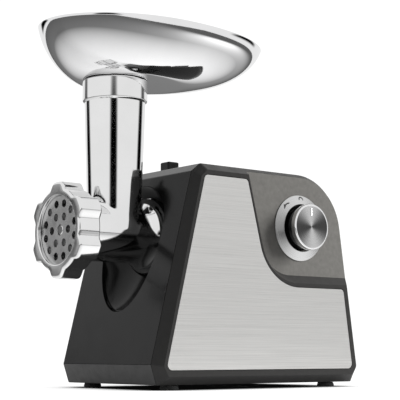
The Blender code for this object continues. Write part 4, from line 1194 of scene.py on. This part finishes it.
def make_ring_nut(side_finish, face_finish):
    front, rear = NUT_LOW.x, NUT_HIGH.x
    lip = PLATE_LOW.x - GAP
    thread_r = BELL_R + 0.5
    outside = [(front, -2.4), (front + 0.25, -1.5), (front + 0.8, -0.7), (front + 1.7, -0.15),
               (front + 2.6, 0), (front + 3.2, 0), (rear - 1.9, 0), (rear - 1.4, 0), (rear - 0.6, -0.3),
               (rear - 0.15, -0.8), (rear, -1.5)]
    inside = [(rear, thread_r + 0.9), (rear - 0.9, thread_r), (lip, thread_r), (lip, NUT_EYE_R),
              (front + 0.9, NUT_EYE_R), (front + 0.3, NUT_EYE_R + 0.3), (front, NUT_EYE_R + 0.9)]
    sides = 360
    rings = []
    for k in range(sides):
        turn = math.tau * k / sides
        reach = nut_reach(360 * k / sides)
        profile = [(reach + grow, x) for x, grow in outside] + [(r, x) for x, r in inside]
        rings.append([(x, r * math.sin(turn), AXIS_Z + r * math.cos(turn)) for r, x in profile])
    nut = to_object("grip_nut", rings_to_mesh(rings, looped=True), side_finish)
    nut.data.materials.append(face_finish)
    nut.data.shade_smooth()
    nut.data.set_sharp_from_angle(angle=math.radians(34))
    face_x = DATUM.x + (front + 0.1) * MM
    for polygon in nut.data.polygons:
        if polygon.center.x < face_x:
            polygon.material_index = 1
    stand_for(nut, "ring_nut", "ring_nut")


# ---------------------------------------------------------------- hopper tray


def tray_ring(swing, z, inward, sides):
    """Egg-shaped plan of the bowl. swing runs from 0 at its flat bottom to TRAY_SWING at its rim."""
    share = (math.sin(swing) / math.sin(TRAY_SWING)) ** TRAY_SWELL
    centre, front, rear, across = (a + (b - a) * share for a, b in zip(TRAY_FLAT, TRAY_RIM))
    ring = []
    for k in range(sides):
        turn = math.tau * k / sides
        along = (front if math.cos(turn) < 0 else rear) - inward
        ring.append((centre + along * math.cos(turn), (across - inward) * math.sin(turn), z))
    return ring


def make_tray(finish):
    """Bowl, rolled rim and spigot as one skin from the spigot's foot round the rim and back."""
    sides, steps = 192, 40
    outer_r, inner_r = TRAY_SPIGOT_R, TRAY_SPIGOT_R - TRAY_SHEET - 0.2

    def hole(r, z):
        return [(x, y, z) for x, y in circle(r, sides, TUBE_X)]

    def between(one, two, share):
        return [tuple(Vector(a).lerp(Vector(b), share)) for a, b in zip(one, two)]

    def height(swing, low, high):
        return low + (high - low) * (1 - math.cos(swing)) / (1 - math.cos(TRAY_SWING))

    rings = [hole(outer_r - 0.3, TRAY_SPIGOT_Z), hole(outer_r, TRAY_SPIGOT_Z + 0.4),
             hole(outer_r, TRAY_BASE_Z - 0.5), hole(outer_r + 0.5, TRAY_BASE_Z)]
    flat = tray_ring(0, TRAY_BASE_Z, 0, sides)
    rings += [between(hole(outer_r + 1.2, TRAY_BASE_Z), flat, share) for share in (0.0, 0.3, 0.6, 0.85)]
    swings = [TRAY_SWING * k / steps for k in range(steps + 1)]
    rim_low = TRAY_RIM_Z - TRAY_SHEET / 2
    rings += [tray_ring(swing, height(swing, TRAY_BASE_Z, rim_low), 0, sides) for swing in swings]
    for k in range(1, 8):
        lean = math.pi * k / 8
        inward = TRAY_SHEET / 2 * (1 - math.cos(lean))
        rings.append(tray_ring(TRAY_SWING, rim_low + TRAY_SHEET / 2 * math.sin(lean), inward, sides))
    for swing in reversed(swings):
        rings.append(tray_ring(swing, height(swing, TRAY_BASE_Z + TRAY_SHEET, rim_low), TRAY_SHEET, sides))
    inner_z = TRAY_BASE_Z + TRAY_SHEET
    inner_flat = tray_ring(0, inner_z, TRAY_SHEET, sides)
    rings += [between(hole(inner_r + 2.0, inner_z), inner_flat, share) for share in (0.8, 0.5, 0.2, 0.0)]
    rings += [hole(inner_r + 1.2, inner_z - 0.15), hole(inner_r + 0.4, inner_z - 0.6),
              hole(inner_r, inner_z - 1.6), hole(inner_r, TRAY_SPIGOT_Z + 0.3),
              hole(inner_r + 0.2, TRAY_SPIGOT_Z)]
    tray = to_object("polished_tray", rings_to_mesh(rings, looped=True), finish)
    tray.data.shade_smooth()
    tray.data.set_sharp_from_angle(angle=math.radians(50))
    stand_for(tray, "hopper_tray", "hopper_tray")


# ---------------------------------------------------------------- kept CAD nodes


def dress_kept_nodes(finishes):
    """Gives every CAD node that is still shown its own finish and slightly broken edges."""
    for node, slot in KEPT_NODES.items():
        kept = frame["nodes"][node]
        kept.data.materials.clear()
        kept.data.materials.append(finishes[slot])
        bevel = kept.modifiers.new("broken_edges", "BEVEL")
        bevel.width = 0.0002
        bevel.segments = 2
        bevel.limit_method = "ANGLE"
        bevel.angle_limit = math.radians(40)


KEPT_NODES = {
    **{f"foot_screw_{k}": "steel" for k in range(1, 5)},
    "rotary_switch": "matte",
    "switch_spindle": "steel",
    "latch_bolt": "steel",
    "motor_pinion": "steel",
    "motor_shaft": "steel",
    "motor_rear_bracket": "steel",
    "first_gear": "nylon",
    "first_gear_axle": "steel",
    "second_gear": "steel",
    "second_gear_axle": "steel",
    "output_gear": "steel",
    "output_bearing": "bronze",
    "gearbox_housing": "casting",
    "gearbox_cover": "casting",
    "armature_core": "lamination",
    "stator_core": "lamination",
    "lower_field_coil": "copper",
    "upper_field_coil": "copper",
    "commutator": "copper",
    "cooling_fan": "nylon",
    "motor_front_bearing": "bronze",
    "motor_rear_bearing": "bronze",
    "brush_holder_left": "bronze",
    "brush_holder_right": "bronze",
    "auger_washer": "nylon",
    "cutting_blade": "steel",
    "plate_key_pin": "steel",
}


# ---------------------------------------------------------------- studio


def make_camera():
    camera = bpy.data.objects.new("camera", bpy.data.cameras.new("camera"))
    bpy.context.scene.collection.objects.link(camera)
    camera.data.lens = CAMERA_LENS
    camera.data.sensor_width = 36.0
    yaw, pitch = math.radians(CAMERA_YAW), math.radians(CAMERA_PITCH)
    forward = Vector((math.sin(yaw) * math.cos(pitch), math.cos(yaw) * math.cos(pitch), math.sin(pitch)))
    camera.location = DATUM + Vector(CAMERA_AT) * MM
    camera.rotation_euler = forward.to_track_quat("-Z", "Y").to_euler()
    camera.data.clip_start = 0.01
    bpy.context.scene.camera = camera


def floor_level(made, painted_contact_shadow):
    """White to the camera; to everything else the floor's glow is a painted pool of light that fades with
    distance from the machine. Everywhere it is dimmed by the painted contact shadow.
    """
    place = made.node("ShaderNodeNewGeometry")
    away = made.node("ShaderNodeVectorMath", operation="DISTANCE")
    away.inputs[1].default_value = tuple(DATUM)
    made.links.new(place.outputs["Position"], away.inputs[0])
    pool = made.spread(away.outputs["Value"], 1.0, POOL_FADED, POOL_NEAR, POOL_FAR)
    path = made.node("ShaderNodeLightPath")
    seen = made.node("ShaderNodeMath", operation="MAXIMUM")
    made.links.new(pool, seen.inputs[0])
    made.links.new(path.outputs["Is Camera Ray"], seen.inputs[1])
    level = made.node("ShaderNodeMath", operation="MULTIPLY")
    made.links.new(seen.outputs["Value"], level.inputs[0])
    made.links.new(painted_contact_shadow, level.inputs[1])
    return level.outputs["Value"]


def make_floor():
    shape = bmesh.new()
    bmesh.ops.create_grid(shape, x_segments=1, y_segments=1, size=4.0)
    mesh = bpy.data.meshes.new("floor")
    shape.to_mesh(mesh)
    shape.free()
    floor = bpy.data.objects.new("floor", mesh)
    bpy.context.scene.collection.objects.link(floor)
    made = Finish("pale_floor", (0.15, 0.15, 0.15), 0.6)
    made.set("Specular IOR Level", 0.0)
    made.set("Emission Color", (1, 1, 1, 1))
    # Painted contact shadow: ambient occlusion dims the floor's glow near the machine.
    nearby = made.node("ShaderNodeAmbientOcclusion", samples=8)
    nearby.inputs["Distance"].default_value = 0.05
    painted_contact_shadow = made.spread(nearby.outputs["AO"], 0.0, 1.0, 0.25, 0.85)
    made.links.new(floor_level(made, painted_contact_shadow), made.shader.inputs["Emission Strength"])
    made.vary_roughness(made.noise(40, 3), 0.04)
    floor.data.materials.append(made.material)


def towards(azimuth, elevation):
    """Unit vector at an azimuth from +Y towards +X and a height above the horizon, in degrees."""
    turn, rise = math.radians(azimuth), math.radians(elevation)
    return Vector((math.sin(turn) * math.cos(rise), math.cos(turn) * math.cos(rise), math.sin(rise)))


def soft_light(name, aim, azimuth, elevation, distance, size, power):
    """Area light for rough surfaces; mirrors see only the room, the flags and the floor."""
    light = bpy.data.objects.new(name, bpy.data.lights.new(name, "AREA"))
    bpy.context.scene.collection.objects.link(light)
    light.data.shape = "RECTANGLE"
    light.data.size, light.data.size_y = size
    light.data.energy = power
    light.visible_camera = False
    light.visible_glossy = False
    way = towards(azimuth, elevation)
    light.location = DATUM + Vector(aim) * MM + way * distance
    light.rotation_euler = way.to_track_quat("Z", "Y").to_euler()
    return light


# The painted pool of light in the floor's glow: where it starts to fade and where it has faded, in metres,
# and how far it fades.
POOL_NEAR = 0.15
POOL_FAR = 0.9
POOL_FADED = 0.1
# The studio that polished metal mirrors: flags in degrees, brightness as a share of white.
ROOM_BRIGHTNESS = 0.9
FLAG_HALF_WIDTH = 15
FLAG_TOP = 60
FLAG_SOFTNESS = 0.02
ROOM_LIGHT = 0.1  # what rough surfaces get from all round


def world_math(world, operation, *values):
    """Output of a Math node in the world's tree; each value is a number or another node's output."""
    made = world.node_tree.nodes.new("ShaderNodeMath")
    made.operation = operation
    for socket, value in zip(made.inputs, values):
        if isinstance(value, (int, float)):
            socket.default_value = value
        else:
            world.node_tree.links.new(value, socket)
    return made.outputs["Value"]


def world_step(world, value, edge, soft):
    """0 below an edge and 1 above it, with a soft change between."""
    made = world.node_tree.nodes.new("ShaderNodeMapRange")
    made.interpolation_type = "SMOOTHSTEP"
    made.inputs["From Min"].default_value = edge - soft
    made.inputs["From Max"].default_value = edge + soft
    world.node_tree.links.new(value, made.inputs["Value"])
    return made.outputs["Result"]


def flag_cover(world, direction, turn):
    """1 where a black flag stands at an azimuth, given in degrees from +Y towards +X, else 0."""
    middle = towards(turn, 0)
    ahead = world_math(world, "ADD", world_math(world, "MULTIPLY", direction["X"], middle.x),
                       world_math(world, "MULTIPLY", direction["Y"], middle.y))
    width = world_step(world, ahead, math.cos(math.radians(FLAG_HALF_WIDTH)), FLAG_SOFTNESS)
    above = world_step(world, direction["Z"], 0.0, FLAG_SOFTNESS)
    below = world_step(world, direction["Z"], math.sin(math.radians(FLAG_TOP)), FLAG_SOFTNESS)
    height = world_math(world, "SUBTRACT", above, below)
    return world_math(world, "MULTIPLY", width, height)


def make_world():
    """A plain pale room; three black flags, evenly spaced from behind the camera, give metal its edges."""
    world = bpy.data.worlds.new("studio")
    bpy.context.scene.world = world
    world.use_nodes = True
    nodes, links = world.node_tree.nodes, world.node_tree.links
    nodes.clear()
    coords = nodes.new("ShaderNodeTexCoord")
    split = nodes.new("ShaderNodeSeparateXYZ")
    links.new(coords.outputs["Generated"], split.inputs["Vector"])
    eye = bpy.context.scene.camera.location - DATUM
    behind_camera = math.degrees(math.atan2(eye.x, eye.y))
    covered = 0.0
    for third in range(3):
        flag = flag_cover(world, split.outputs, behind_camera + 120 * third)
        covered = world_math(world, "MAXIMUM", flag, covered)
    level = world_math(world, "MULTIPLY_ADD", covered, -ROOM_BRIGHTNESS, ROOM_BRIGHTNESS)
    path = nodes.new("ShaderNodeLightPath")
    seen = world_math(world, "MULTIPLY", path.outputs["Is Glossy Ray"], level)
    backdrop = world_math(world, "MULTIPLY_ADD", path.outputs["Is Camera Ray"], 1.1, seen)
    soft = world_math(world, "MULTIPLY", path.outputs["Is Diffuse Ray"], ROOM_LIGHT)
    room = nodes.new("ShaderNodeBackground")
    room.inputs["Color"].default_value = (1, 1, 1, 1)
    links.new(world_math(world, "ADD", backdrop, soft), room.inputs["Strength"])
    output = nodes.new("ShaderNodeOutputWorld")
    links.new(room.outputs["Background"], output.inputs["Surface"])


def make_studio():
    make_camera()
    make_floor()
    make_world()
    soft_light("key", (0, -70, 120), 119, 22, 2.0, (0.9, 0.9), 125)
    bpy.context.scene.view_settings.view_transform = "Standard"


def main():
    make_studio()
    gloss, matte, rubber = gloss_black(), matte_black(), black_rubber()
    # The recess plastic is the frame plastic painted lighter: painted light on the dial recess.
    frame_plastic, recess_painted_light_plastic = dark_cover(), painted_light_grey_cover()
    tray_mirror = mirror_steel("tray_mirror_steel", 0.035)
    chrome = mirror_steel("head_polished_alloy", 0.07, (0.84, 0.84, 0.84))
    satin = mirror_steel("nut_satin_face", 0.32, (0.45, 0.45, 0.45))
    steel = machined_steel("machined_steel", (0.55, 0.55, 0.55), 0.3)
    make_main_housing(gloss)
    make_side_cover("side_cover_control", "control_side_cover", 1, panel_corners(), True, frame_plastic,
                    recess_painted_light_plastic)
    make_side_cover("side_cover_plain", "plain_side_cover", -1, plain_panel_corners(), False, frame_plastic,
                    recess_painted_light_plastic)
    make_panels(brushed_steel())
    make_base_pan(matte)
    make_feet(rubber)
    make_cord_inlet(matte)
    make_head_socket(matte)
    make_dial(
        turned_metal("bezel_turned_steel", (0.3, 0.3, 0.3), (0.7, 0.7, 0.7), 0.28, 1.8),
        gloss,
        turned_metal("cap_turned_alloy", (0.06, 0.06, 0.06), (0.62, 0.62, 0.62), 0.3, 2.6),
        mirror_steel("cap_bright_rim", 0.12),
        printed("white_line", (0.85, 0.85, 0.85)),
        printed("dark_print", (0.03, 0.03, 0.03)),
    )
    make_release(gloss)
    make_release_spring(steel)
    make_head(chrome)
    make_auger(chrome)
    make_plate(steel)
    make_ring_nut(chrome, satin)
    make_tray(tray_mirror)
    dress_kept_nodes({
        "steel": steel,
        "matte": matte,
        "nylon": nylon(),
        "casting": cast_grey(),
        "lamination": laminations(),
        "copper": copper(),
        "bronze": bronze(),
    })


main()
